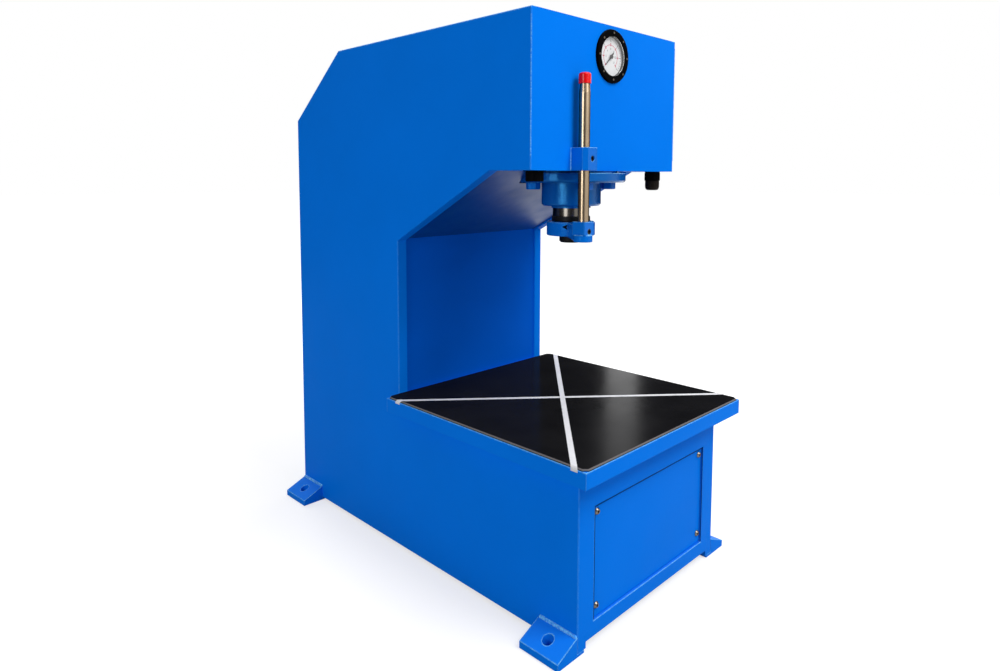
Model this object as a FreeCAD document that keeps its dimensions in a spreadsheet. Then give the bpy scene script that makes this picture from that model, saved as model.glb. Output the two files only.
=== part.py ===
import FreeCAD, Part
import Sketcher
import os
import re
from math import degrees

# A bench-top C-frame hydraulic press. The origin is on the floor under the middle of
# the machine: +Z is up, the throat opens to the front (-Y) and +X is the operator's right.

# ---------------------------------------------------------------------------
# Driving dimensions, in millimetres (angles in degrees)
# ---------------------------------------------------------------------------
SIZES = {
    # welded frame
    "frame_width": 400,
    "frame_height": 950,
    "base_depth": 771,
    "side_thickness": 20,
    "plate_thickness": 12,
    "side_clearance": 5,
    "front_clearance": 15,
    "plate_recess": 4,
    "rear_recess": 7,
    "edge_break": 1.2,
    "notch_play": 16,
    "notch_drop": 1.5,
    "pocket_play": 3,
    "apron_gap": 14,
    # throat and arm
    "throat_reach": 421,
    "knee_drop": 126,
    "arm_setback": 97,
    "arm_flat": 88,
    "bed_thickness": 20,
    "bed_depth": 186,
    "chamfer_run": 163,
    "chamfer_drop": 128,
    # table
    "table_underside": 272,
    "table_thickness": 25,
    "table_front_overhang": 33,
    "table_side_overhang": 28,
    "sheet_thickness": 3,
    "sheet_margin": 1,
    "sheet_corner": 7,
    "sheet_chamfer": 1.8,
    "table_edge_break": 0.6,
    "strip_width": 9,
    "rising_strip_inset": 21,
    "falling_strip_inset": 33,
    "strip_depth": 0.5,
    # feet
    "foot_reach": 45,
    "foot_tuck": 16,
    "foot_length": 74,
    "foot_toe": 11,
    "foot_heel": 30,
    "foot_hole_radius": 9,
    "foot_hole_inset": 22.5,
    # covers
    "panel_margin": 39,
    "panel_height": 176,
    "panel_bottom": 40,
    "panel_thickness": 4,
    "panel_recess": 4,
    "panel_gap": 1.2,
    "panel_lip": 22,
    "panel_screw_side": 9.5,
    "panel_screw_top": 11.5,
    "panel_screw_bottom": 18,
    "cover_margin": 30,
    "cover_height": 420,
    "cover_bottom": 60,
    "cover_thickness": 3,
    "cover_lip": 24,
    "cover_screw_inset": 12,
    "button_head_radius": 5.25,
    "button_head_height": 3.3,
    "button_shank_radius": 3,
    "button_shank_length": 14,
    "button_crown_radius": 3.5,
    "button_rim_height": 1.1,
    "button_key": 4,
    "button_key_depth": 2,
    "screw_clearance": 0.3,
    # pressure gauge
    "gauge_drop": 50,
    "gauge_cap_gap": 7,
    "gauge_flange_radius": 44,
    "gauge_flange_front": 4,
    "gauge_rim_height": 2,
    "gauge_rim_slope": 1.3,
    "gauge_case_radius": 33,
    "gauge_case_depth": 38,
    "gauge_window_radius": 32,
    "gauge_dial_depth": 4,
    "gauge_dial_thickness": 1,
    "gauge_lens_thickness": 1.5,
    "gauge_lens_seat": 1,
    "gauge_hole_play": 0.5,
    "gauge_spindle_radius": 1,
    "gauge_spindle_front": 0.4,
    "gauge_running_play": 0.06,
    "gauge_screw_circle": 38,
    "gauge_screw_radius": 1.7,
    "gauge_screw_proud": 0.8,
    "pointer_reach": 21,
    "pointer_tail": 9,
    "pointer_hub_radius": 3,
    "pointer_half_width": 1.1,
    "pointer_tip_half_width": 0.4,
    "pointer_thickness": 0.8,
    "pointer_lift": 1.2,
    "stem_width": 17,
    "stem_depth": 26,
    # hydraulic cylinder
    "ram_setback": 82,
    "flange_radius": 94,
    "flange_thickness": 16,
    "register_radius": 80,
    "register_height": 3.5,
    "barrel_radius": 52,
    "piston_margin": 13,
    "barrel_play": 0.5,
    "boss_length": 40.5,
    "cylinder_chamfer": 3,
    "bore_radius": 40,
    "mouth_radius": 36,
    "mouth_height": 41,
    "gland_nose": 4,
    "gland_nose_radius": 34.5,
    "wiper_width": 6,
    "wiper_depth": 3,
    "ram_radius": 32,
    "running_play": 0.05,
    "fit_play": 0.03,
    "ram_stroke": 95,
    "end_gap": 2,
    "piston_height": 35,
    "piston_groove_rise": 11.6667,
    "piston_spigot_radius": 20,
    "piston_groove_width": 10,
    "piston_groove_depth": 4,
    "piston_nut_height": 10,
    "piston_nut_radius": 30,
    "cap_thickness": 25,
    "bolt_circle_radius": 70,
    "bolt_first_angle": -31.5,
    "bolt_head_radius": 12.7,
    "bolt_head_height": 12,
    "bolt_face_radius": 11,
    "bolt_face_chamfer": 1.2,
    "bolt_shank_radius": 7,
    "bolt_shank_length": 32,
    # ram end: black ring, clamp collar and pressing nose
    "spigot_radius": 25,
    "spigot_length": 34.5,
    "ram_standout": 14,
    "lock_ring_radius": 34,
    "lock_ring_height": 9.5,
    "collar_radius": 42.5,
    "collar_height": 24.7,
    "nose_radius": 20,
    "nose_height": 12.5,
    "nose_shank_radius": 13,
    "nose_shank_length": 20,
    "arm_width": 24,
    "slit_width": 2,
    "slit_reach": 64,
    "clamp_screw_reach": 56,
    "clamp_screw_radius": 3.4,
    "clamp_screw_height": 14,
    # guide rod, its bracket and its holder
    "rod_offset": 91,
    "rod_standoff": 15,
    "rod_radius": 9,
    "rod_neck_radius": 7.8,
    "rod_spigot_radius": 6.5,
    "rod_taper": 14,
    "rod_spigot_length": 14,
    "cap_stop_gap": 4,
    "cap_radius": 9.7,
    "cap_crown": 3,
    "cap_round": 1,
    "bracket_half_width": 15,
    "bracket_height": 36,
    "bracket_bevel": 6.7,
    "bush_radius": 10.8,
    "holder_half_width": 12,
    "holder_height": 21.4,
    "holder_boss_radius": 14.8,
    "holder_boss_height": 10.8,
    "set_screw_radius": 4.6,
    "set_screw_sink": 1.4,
    "set_screw_key": 4.6,
    "set_screw_floor": 1,
    "bracket_screw_height": 18.5,
    "holder_screw_rise": 16.5,
    # glands under the arm
    "gland_side_gap": 14,
    "gland_setback": 22,
    "gland_body_radius": 13.6,
    "gland_body_height": 17,
    "gland_collar_radius": 17.8,
    "gland_collar_height": 1.5,
    "gland_dome_radius": 12.4,
    "gland_dome_height": 17.4,
    "gland_dome_round": 4,
    "gland_dome_ease": 1.33333,
    "gland_thread_radius": 7.5,
    "gland_thread_play": 0.2,
    "gland_nut_radius": 11,
    "gland_nut_height": 6,
    # power pack inside the base and column
    "rail_height": 15,
    "rail_width": 30,
    "rail_inset": 50,
    "tank_width": 280,
    "tank_depth": 240,
    "tank_height": 190,
    "tank_wall": 4,
    "tank_rear_gap": 30,
    "lid_thickness": 8,
    "pump_radius": 42,
    "pump_length": 110,
    "motor_radius": 62,
    "motor_length": 230,
    "motor_setback": 158,
    "block_width": 70,
    "block_depth": 88,
    "block_height": 80,
    "pipe_radius": 6,
    "pipe_bend": 30,
    "upper_port_drop": 12,
    "lower_port_height": 34,
    "pipe_spacing": 40,
    "gauge_pipe_radius": 4,
}

# Sizes and places that follow from the driving dimensions
RULES = {
    "outer_half": "frame_width / 2",
    "inner_half": "frame_width / 2 - side_thickness",
    "rear_face": "(base_depth + table_front_overhang) / 2",
    "base_front": "rear_face - base_depth",
    "arm_front": "base_front + arm_setback",
    "cap_rise": "mouth_height - boss_length - flange_thickness - register_height + piston_margin"
                " + ram_stroke + piston_height + cap_thickness",
    "arm_underside": "frame_height - gauge_drop - gauge_case_radius - gauge_cap_gap - cap_rise",
    "knee_height": "arm_underside - knee_drop",
    "panel_width": "frame_width - 2 * panel_margin",
    "cover_width": "2 * (inner_half - cover_margin)",
    "gauge_height": "frame_height - gauge_drop",
    "throat_face": "base_front + throat_reach",
    "web_face": "throat_face + plate_recess",
    "web_rear": "web_face + plate_thickness",
    "slope_top": "arm_front + arm_flat",
    "slope_rate": "(arm_underside - knee_height) / (throat_face - slope_top)",
    "slope_stretch": "sqrt(1 + slope_rate * slope_rate)",
    "apron_face": "ram_y + flange_radius + apron_gap",
    "bed_top": "arm_underside + bed_thickness",
    "chamfer_start": "rear_face - chamfer_run",
    "chamfer_foot": "frame_height - chamfer_drop",
    "chamfer_rate": "chamfer_drop / chamfer_run",
    "chamfer_lift": "plate_thickness * sqrt(1 + chamfer_rate * chamfer_rate)",
    "rear_plate_face": "rear_face - rear_recess",
    "floor_top": "front_clearance + plate_thickness",
    "table_top": "table_underside + table_thickness",
    "work_surface": "table_top + sheet_thickness",
    "table_half": "outer_half + table_side_overhang",
    "table_front": "base_front - table_front_overhang",
    "sheet_half": "table_half - sheet_margin",
    "sheet_front": "table_front + sheet_margin",
    "sheet_rear": "throat_face - sheet_margin",
    "sheet_middle": "(sheet_front + sheet_rear) / 2",
    "sheet_reach": "(sheet_rear - sheet_front) / 2",
    "ram_y": "arm_front + ram_setback",
    "rod_x": "0 - rod_offset",
    "rod_y": "arm_front - rod_standoff",
    "cap_bottom": "arm_underside + bracket_height + ram_stroke + cap_stop_gap",
    "rod_top": "cap_bottom + rod_spigot_length",
    "rod_distance": "sqrt(rod_offset * rod_offset + (ram_y - rod_y) * (ram_y - rod_y))",
    "flange_bottom": "arm_underside - register_height - flange_thickness",
    "boss_bottom": "flange_bottom - boss_length",
    "mouth_top": "boss_bottom + mouth_height",
    "barrel_top": "arm_underside + cap_rise - cap_thickness",
    "piston_top": "barrel_top",
    "piston_bottom": "barrel_top - piston_height",
    "cap_top": "barrel_top + cap_thickness",
    "shoulder_height": "boss_bottom - gland_nose - ram_standout",
    "collar_bottom": "shoulder_height - spigot_length",
    "nose_bottom": "collar_bottom - nose_height",
    "holder_bottom": "collar_bottom + holder_boss_height",
    "holder_top": "holder_bottom + holder_height",
    "holder_screw_height": "collar_bottom + holder_screw_rise",
    "gland_offset": "inner_half - gland_side_gap",
    "gland_y": "arm_front + gland_setback",
    "tank_rear": "rear_plate_face - plate_thickness - tank_rear_gap",
    "tank_front": "tank_rear - tank_depth",
    "tank_bottom": "floor_top + rail_height",
    "tank_top": "tank_bottom + tank_height",
    "lid_top": "tank_top + lid_thickness",
    "motor_y": "tank_front + motor_setback",
    "block_front": "tank_front",
    "block_top": "lid_top + block_height",
    "upper_port": "cap_top - upper_port_drop",
    "lower_port": "bed_top + lower_port_height",
    "pipe_front_y": "block_front + (block_depth - pipe_spacing) / 2",
    "pipe_rear_y": "pipe_front_y + pipe_spacing",
}

GAUGE_SCREWS = 8
CYLINDER_BOLTS = 4
QUARTER_TURN = 90
HALF_TURN = 180
FULL_TURN = 360
HEXAGON_SIDES = 6
POINTER_REST_ANGLE = 135

X_AXIS = FreeCAD.Vector(1, 0, 0)
Y_AXIS = FreeCAD.Vector(0, 1, 0)
Z_AXIS = FreeCAD.Vector(0, 0, 1)
ORIGIN = FreeCAD.Vector(0, 0, 0)

# Turns that point a piece drawn along +Z the named way
TURNS = {
    "up": (X_AXIS, 0),
    "front": (X_AXIS, QUARTER_TURN),
    "rear": (X_AXIS, -QUARTER_TURN),
    "across": (Z_AXIS, 0),
}

doc = FreeCAD.newDocument("HydraulicPress")
sheet = doc.addObject("Spreadsheet::Sheet", "Sizes")
parts = []


# ---------------------------------------------------------------------------
# Helpers
# ---------------------------------------------------------------------------
def fill_sheet():
    for row, (alias, value) in enumerate(SIZES.items(), start=1):
        sheet.set(f"A{row}", alias)
        sheet.set(f"B{row}", str(value))
        sheet.setAlias(f"B{row}", alias)
    doc.recompute()


def formula(rule):
    """Spell a rule out in the sheet's own names."""
    def spell(match):
        word = match.group(0)
        if word in RULES:
            return f"({formula(RULES[word])})"
        if word in SIZES:
            return f"Sizes.{word}"
        return word
    return re.sub(r"[a-z_]+", spell, rule)


def number(rule):
    return float(sheet.evalExpression(formula(rule)))


def bind(item, name, rule):
    item.setExpression(name, formula(rule))


def place(item, spot, turn="up", spin=None):
    """Turn an item, then tie its place to the sheet."""
    axis, angle = spin or TURNS[turn]
    item.Placement = FreeCAD.Placement(ORIGIN, FreeCAD.Rotation(axis, angle))
    for axis_name, rule in zip("xyz", spot):
        bind(item, f"Placement.Base.{axis_name}", rule)
    return item


def keep(item, label):
    """Name a finished sub-part."""
    item.Label = label
    parts.append(item)
    return item


def box(name, spot, size):
    item = doc.addObject("Part::Box", name)
    for side, rule in zip(("Length", "Width", "Height"), size):
        bind(item, side, rule)
    return place(item, spot)


def cylinder(name, spot, radius, length, turn="up"):
    item = doc.addObject("Part::Cylinder", name)
    bind(item, "Radius", radius)
    bind(item, "Height", length)
    return place(item, spot, turn)


def hexagon(name, spot, radius, length, turn="up"):
    item = doc.addObject("Part::Prism", name)
    item.Polygon = HEXAGON_SIDES
    bind(item, "Circumradius", radius)
    bind(item, "Height", length)
    return place(item, spot, turn)


def fuse(name, items):
    item = doc.addObject("Part::MultiFuse", name)
    item.Shapes = items
    item.Refine = True
    return item


def cut(name, base, tools):
    item = doc.addObject("Part::Cut", name)
    item.Base = base
    item.Tool = tools[0] if len(tools) == 1 else fuse(f"{name}_tools", tools)
    return item


def group(name, items):
    item = doc.addObject("Part::Compound", name)
    item.Links = items
    return item


def new_body(name):
    return doc.addObject("PartDesign::Body", name)


def new_sketch(body, role):
    plane = next(item for item in body.Origin.OriginFeatures if item.Role == role)
    sketch = body.newObject("Sketcher::SketchObject", f"{body.Name}_sketch")
    sketch.AttachmentSupport = (plane, [""])
    sketch.MapMode = "FlatFace"
    return sketch


def draw_outline(sketch, points):
    """Draw a closed outline whose corners are tied to the sheet."""
    corners = [(number(across), number(along)) for across, along in points]
    first = sketch.GeometryCount
    count = len(points)
    for index, start in enumerate(corners):
        end = corners[(index + 1) % count]
        line = Part.LineSegment(FreeCAD.Vector(*start, 0), FreeCAD.Vector(*end, 0))
        sketch.addGeometry(line, False)
    for index in range(count):
        following = first + (index + 1) % count
        sketch.addConstraint(Sketcher.Constraint("Coincident", first + index, 2, following, 1))
    for index, (point, corner) in enumerate(zip(points, corners)):
        for kind, rule, value in zip(("DistanceX", "DistanceY"), point, corner):
            spot = sketch.addConstraint(Sketcher.Constraint(kind, first + index, 1, value))
            bind(sketch, f"Constraints[{spot}]", rule)


def extrude(name, role, points, length):
    """A plate or block padded from an outline on one of its own planes."""
    body = new_body(name)
    sketch = new_sketch(body, role)
    draw_outline(sketch, points)
    pad = body.newObject("PartDesign::Pad", f"{name}_pad")
    pad.Profile = sketch
    bind(pad, "Length", length)
    sketch.Visibility = False
    doc.recompute()
    return body


def turned(name, points):
    """A piece turned about its own Z axis from (radius, height) corners."""
    body = new_body(name)
    sketch = new_sketch(body, "XZ_Plane")
    draw_outline(sketch, points)
    spin = body.newObject("PartDesign::Revolution", f"{name}_turn")
    spin.Profile = sketch
    spin.ReferenceAxis = (sketch, ["V_Axis"])
    spin.Angle = FULL_TURN
    doc.recompute()
    return body


def break_edges(body, direction, size):
    """Chamfer every edge of the body's outermost flat face on one side."""
    feature = body.Tip
    faces = feature.Shape.Faces
    outermost = max(range(len(faces)), key=lambda index: faces[index].CenterOfMass.dot(direction))
    chamfer = body.newObject("PartDesign::Chamfer", f"{body.Name}_chamfer")
    chamfer.Base = (feature, [f"Face{outermost + 1}"])
    bind(chamfer, "Size", size)
    doc.recompute()


def across_flats(key):
    """The corner radius of a hexagon from its width across the flats."""
    return f"{key} / 2 / cos({HALF_TURN / HEXAGON_SIDES} * 1 deg)"


def button_screw(name, spot, turn):
    """A button-head socket screw: the head stands out from its seat."""
    head = turned(f"{name}_head", [
        ("0", "0"),
        ("button_head_radius", "0"),
        ("button_head_radius", "button_rim_height"),
        ("button_crown_radius", "button_head_height"),
        ("0", "button_head_height"),
    ])
    length = "button_shank_length"
    shank = cylinder(f"{name}_shank", ("0", "0", f"0 - {length}"), "button_shank_radius", length)
    key = hexagon(f"{name}_key", ("0", "0", "button_head_height - button_key_depth"),
                  across_flats("button_key"), "button_head_height")
    screw = cut(name, fuse(f"{name}_blank", [head, shank]), [key])
    return place(screw, spot, turn)


def set_screw(name, spot, length):
    """A headless socket screw that points to the rear and shows its key to the front."""
    stud = cylinder(f"{name}_stud", ("0", "0", "0"), "set_screw_radius - screw_clearance / 2", length)
    key = hexagon(f"{name}_key", ("0", "0", "set_screw_floor"), across_flats("set_screw_key"), length)
    screw = cut(name, stud, [key])
    return place(screw, spot, "front")


# ---------------------------------------------------------------------------
# Welded frame
# ---------------------------------------------------------------------------
def build_side_plates():
    outline = [
        ("base_front", "side_clearance"),
        ("rear_face", "side_clearance"),
        ("rear_face", "chamfer_foot"),
        ("chamfer_start", "frame_height"),
        ("arm_front", "frame_height"),
        ("arm_front", "arm_underside"),
        ("slope_top", "arm_underside"),
        ("throat_face", "knee_height"),
        ("throat_face", "table_underside"),
        ("base_front", "table_underside"),
    ]
    left = extrude("side_left", "YZ_Plane", outline, "side_thickness")
    break_edges(left, -X_AXIS, "edge_break")
    keep(place(left, ("0 - outer_half", "0", "0")), "side_plate_left")
    right = extrude("side_right", "YZ_Plane", outline, "side_thickness")
    break_edges(right, X_AXIS, "edge_break")
    keep(place(right, ("inner_half", "0", "0")), "side_plate_right")


def cross_plate(name, outline):
    """A plate that spans between the two sides, from its outline in the YZ plane."""
    plate = extrude(name, "YZ_Plane", outline, "2 * inner_half")
    return place(plate, ("0 - inner_half", "0", "0"))


def build_throat():
    lower = "plate_recess * slope_stretch"
    upper = "(plate_recess + plate_thickness) * slope_stretch"
    face_low = f"arm_underside - (web_face - slope_top) * slope_rate + {lower}"
    rear_low = f"arm_underside - (web_rear - slope_top) * slope_rate + {upper}"
    keep(cross_plate("throat_web", [
        ("web_face", "table_top"),
        ("web_rear", "table_top"),
        ("web_rear", rear_low),
        ("web_face", face_low),
    ]), "throat_plate")
    slope = cross_plate("throat_slope", [
        (f"slope_top + {lower} / slope_rate", "arm_underside"),
        (f"slope_top + {upper} / slope_rate", "arm_underside"),
        ("web_rear", rear_low),
        ("web_face", face_low),
    ])
    # the cylinder's flange sits in a round notch in the sloping plate, its bolt heads in pockets
    notch = cylinder("slope_notch", ("0", "ram_y", "flange_bottom - notch_drop"),
                     "flange_radius + notch_play", "arm_underside - flange_bottom + notch_drop")
    pocket_depth = "(bolt_head_height + pocket_play)"
    pockets = [
        cylinder(f"slope_pocket_{index}", (*bolt_spot(index), f"flange_bottom - {pocket_depth}"),
                 "bolt_head_radius + pocket_play", pocket_depth)
        for index in range(CYLINDER_BOLTS)
    ]
    notched = cut("slope_cut", slope, [notch, *pockets])
    # an upright apron closes the notch behind the flange, from the plate's middle up to the arm
    foot = ("arm_underside - (apron_face - slope_top) * slope_rate"
            " + (plate_recess + plate_thickness / 2) * slope_stretch")
    apron = box("slope_apron", ("0 - flange_radius - notch_play", "apron_face", foot),
                ("2 * (flange_radius + notch_play)", "plate_thickness", f"arm_underside - ({foot})"))
    keep(fuse("slope_all", [notched, apron]), "throat_slope_plate")


def build_arm():
    bed = box("bed_blank", ("0 - inner_half", "arm_front", "arm_underside"),
              ("2 * inner_half", "bed_depth", "bed_thickness"))
    bore = cylinder("bed_bore", ("0", "ram_y", "arm_underside"),
                    "barrel_radius + barrel_play", "bed_thickness")
    holes = [bore]
    for index in range(CYLINDER_BOLTS):
        holes.append(cylinder(f"bed_bolt_hole_{index}", (*bolt_spot(index), "arm_underside"),
                              "bolt_shank_radius + screw_clearance", "bed_thickness"))
    for side, x_rule in (("left", "0 - gland_offset"), ("right", "gland_offset")):
        holes.append(cylinder(f"bed_gland_hole_{side}", (x_rule, "gland_y", "arm_underside"),
                              "gland_thread_radius + gland_thread_play", "bed_thickness"))
    keep(cut("bed_cut", bed, holes), "arm_bottom_plate")

    face = box("arm_face_blank", ("0 - inner_half", "arm_front", "bed_top"),
               ("2 * inner_half", "plate_thickness", "frame_height - plate_thickness - bed_top"))
    window = cylinder("arm_face_hole", ("0", "arm_front + plate_thickness", "gauge_height"),
                      "gauge_case_radius + gauge_hole_play", "plate_thickness", "front")
    keep(cut("arm_face_cut", face, [window]), "arm_front_plate")

    keep(cross_plate("arm_top", [
        ("arm_front", "frame_height - plate_thickness"),
        ("chamfer_start", "frame_height - plate_thickness"),
        ("chamfer_start", "frame_height"),
        ("arm_front", "frame_height"),
    ]), "arm_top_plate")


def build_rear():
    keep(cross_plate("rear_slope", [
        ("chamfer_start", "frame_height"),
        ("rear_face", "chamfer_foot"),
        ("rear_face - chamfer_lift / chamfer_rate", "chamfer_foot"),
        ("chamfer_start", "frame_height - chamfer_lift"),
    ]), "rear_slope_plate")
    plate = box("rear_blank", ("0 - inner_half", "rear_plate_face - plate_thickness", "front_clearance"),
                ("2 * inner_half", "plate_thickness", "chamfer_foot - front_clearance"))
    inner_face = "rear_plate_face - plate_thickness"
    opening = box("rear_opening", ("cover_lip - cover_width / 2", inner_face, "cover_bottom + cover_lip"),
                  ("cover_width - 2 * cover_lip", "plate_thickness", "cover_height - 2 * cover_lip"))
    holes = [
        cylinder(f"rear_hole_{index}", (x_rule, inner_face, z_rule),
                 "button_shank_radius + screw_clearance", "plate_thickness", "rear")
        for index, (x_rule, z_rule) in enumerate(cover_screw_spots())
    ]
    keep(cut("rear_cut", plate, [opening, *holes]), "rear_plate")


def build_base():
    keep(box("floor", ("0 - inner_half", "base_front + plate_thickness", "front_clearance"),
             ("2 * inner_half", "base_depth - 2 * plate_thickness - rear_recess", "plate_thickness")),
         "base_floor_plate")
    plate = box("base_face_blank", ("0 - inner_half", "base_front", "front_clearance"),
                ("2 * inner_half", "plate_thickness", "table_underside - front_clearance"))
    rebate = box("base_face_rebate",
                 ("0 - panel_width / 2 - panel_gap", "base_front", "panel_bottom - panel_gap"),
                 ("panel_width + 2 * panel_gap", "panel_recess + panel_thickness",
                  "panel_height + 2 * panel_gap"))
    opening = box("base_face_opening",
                  ("panel_lip - panel_width / 2", "base_front", "panel_bottom + panel_lip"),
                  ("panel_width - 2 * panel_lip", "plate_thickness", "panel_height - 2 * panel_lip"))
    holes = panel_holes("base_face_hole", "plate_thickness")
    keep(cut("base_face_cut", plate, [rebate, opening, *holes]), "base_front_plate")


def build_feet():
    front_y = "base_front + foot_length"
    rear_y = "rear_face"
    for end, y_rule in (("front", front_y), ("rear", rear_y)):
        for side, sign in (("left", "0 -"), ("right", "0 +")):
            name = f"foot_{end}_{side}"
            wedge = extrude(f"{name}_wedge", "XZ_Plane", [
                (f"{sign} (outer_half - foot_tuck)", "0"),
                (f"{sign} (outer_half + foot_reach)", "0"),
                (f"{sign} (outer_half + foot_reach)", "foot_toe"),
                (f"{sign} outer_half", "foot_heel"),
                (f"{sign} outer_half", "side_clearance"),
                (f"{sign} (outer_half - foot_tuck)", "side_clearance"),
            ], "foot_length")
            place(wedge, ("0", y_rule, "0"))
            hole = cylinder(f"{name}_hole", (f"{sign} (outer_half + foot_hole_inset)",
                                             f"{y_rule} - foot_length / 2", "0"),
                            "foot_hole_radius", "foot_heel")
            keep(cut(f"{name}_cut", wedge, [hole]), name)


# ---------------------------------------------------------------------------
# Table
# ---------------------------------------------------------------------------
def diagonal_strip(name, height, depth, sign, inset):
    """A strip across the table sheet, whose ends lie an inset away from two opposite corners."""
    run = f"(sheet_reach - {inset})"
    half = f"sqrt(sheet_half * sheet_half + {run} * {run}) + strip_width"
    strip = extrude(name, "XY_Plane", [
        (f"0 - ({half})", "0 - strip_width / 2"),
        (half, "0 - strip_width / 2"),
        (half, "strip_width / 2"),
        (f"0 - ({half})", "strip_width / 2"),
    ], depth)
    place(strip, ("0", "sheet_middle", height), "across")
    bind(strip, "Placement.Rotation.Angle", f"{sign} 1 * atan({run} / sheet_half)")
    return strip


def sheet_blank(name, bottom, thickness):
    """The table sheet's outline, with its four corners cut."""
    blank = extrude(name, "XY_Plane", [
        ("0 - sheet_half + sheet_corner", "sheet_front"),
        ("sheet_half - sheet_corner", "sheet_front"),
        ("sheet_half", "sheet_front + sheet_corner"),
        ("sheet_half", "sheet_rear - sheet_corner"),
        ("sheet_half - sheet_corner", "sheet_rear"),
        ("0 - sheet_half + sheet_corner", "sheet_rear"),
        ("0 - sheet_half", "sheet_rear - sheet_corner"),
        ("0 - sheet_half", "sheet_front + sheet_corner"),
    ], thickness)
    break_edges(blank, Z_AXIS, "sheet_chamfer")
    return place(blank, ("0", "0", bottom))


def crossed_strips(name, height, depth):
    return fuse(name, [
        diagonal_strip(f"{name}_rising", height, depth, "+", "rising_strip_inset"),
        diagonal_strip(f"{name}_falling", height, depth, "-", "falling_strip_inset"),
    ])


def build_table():
    plate = extrude("table", "XY_Plane", [
        ("0 - table_half", "table_front"),
        ("table_half", "table_front"),
        ("table_half", "throat_face"),
        ("inner_half", "throat_face"),
        ("inner_half", "web_rear"),
        ("0 - inner_half", "web_rear"),
        ("0 - inner_half", "throat_face"),
        ("0 - table_half", "throat_face"),
    ], "table_thickness")
    break_edges(plate, Z_AXIS, "table_edge_break")
    keep(place(plate, ("0", "0", "table_underside")), "table_plate")

    groove = crossed_strips("strip_groove", "work_surface - strip_depth", "sheet_thickness")
    blank = sheet_blank("sheet_blank", "table_top", "sheet_thickness")
    keep(cut("sheet_cut", blank, [groove]), "table_sheet")

    strips = crossed_strips("strips", "work_surface - strip_depth", "strip_depth")
    outline = sheet_blank("strip_outline", "table_top", "sheet_thickness")
    trimmed = doc.addObject("Part::Common", "strips_trimmed")
    trimmed.Base = strips
    trimmed.Tool = outline
    keep(trimmed, "centre_strips")


# ---------------------------------------------------------------------------
# Covers
# ---------------------------------------------------------------------------
def panel_screw_spots():
    half = "panel_width / 2 - panel_screw_side"
    low = "panel_bottom + panel_screw_bottom"
    high = "panel_bottom + panel_height - panel_screw_top"
    return [(f"{sign} ({half})", z_rule) for sign in ("0 -", "0 +") for z_rule in (low, high)]


def cover_screw_spots():
    half = "cover_width / 2 - cover_screw_inset"
    low = "cover_bottom + cover_screw_inset"
    high = "cover_bottom + cover_height - cover_screw_inset"
    return [(f"{sign} ({half})", z_rule) for sign in ("0 -", "0 +") for z_rule in (low, high)]


def panel_holes(name, depth):
    return [
        cylinder(f"{name}_{index}", (x_rule, f"base_front + {depth}", z_rule),
                 "button_shank_radius + screw_clearance", depth, "front")
        for index, (x_rule, z_rule) in enumerate(panel_screw_spots())
    ]


def build_covers():
    blank = box("panel_blank", ("0 - panel_width / 2", "base_front + panel_recess", "panel_bottom"),
                ("panel_width", "panel_thickness", "panel_height"))
    holes = panel_holes("panel_hole", "(panel_recess + panel_thickness)")
    keep(cut("panel_cut", blank, holes), "access_panel")
    screws = [button_screw(f"panel_screw_{index}", (x_rule, "base_front + panel_recess", z_rule), "front")
              for index, (x_rule, z_rule) in enumerate(panel_screw_spots())]
    keep(group("panel_screw_group", screws), "access_panel_screws")

    blank = box("cover_blank", ("0 - cover_width / 2", "rear_plate_face", "cover_bottom"),
                ("cover_width", "cover_thickness", "cover_height"))
    holes = [
        cylinder(f"cover_hole_{index}", (x_rule, "rear_plate_face", z_rule),
                 "button_shank_radius + screw_clearance", "cover_thickness", "rear")
        for index, (x_rule, z_rule) in enumerate(cover_screw_spots())
    ]
    keep(cut("cover_cut", blank, holes), "rear_cover")
    seat = "rear_plate_face + cover_thickness"
    screws = [button_screw(f"cover_screw_{index}", (x_rule, seat, z_rule), "rear")
              for index, (x_rule, z_rule) in enumerate(cover_screw_spots())]
    keep(group("cover_screw_group", screws), "rear_cover_screws")


# ---------------------------------------------------------------------------
# Pressure gauge
# ---------------------------------------------------------------------------
def around(index, count, radius, first="0"):
    """The across and along rules of one place on a circle."""
    angle = f"({first} + {index} * {FULL_TURN} / {count}) * 1 deg"
    return f"{radius} * cos({angle})", f"{radius} * sin({angle})"


def gauge_screw_spot(index, y_rule):
    across, along = around(index, GAUGE_SCREWS, "gauge_screw_circle")
    return across, y_rule, f"gauge_height + {along}"


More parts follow.
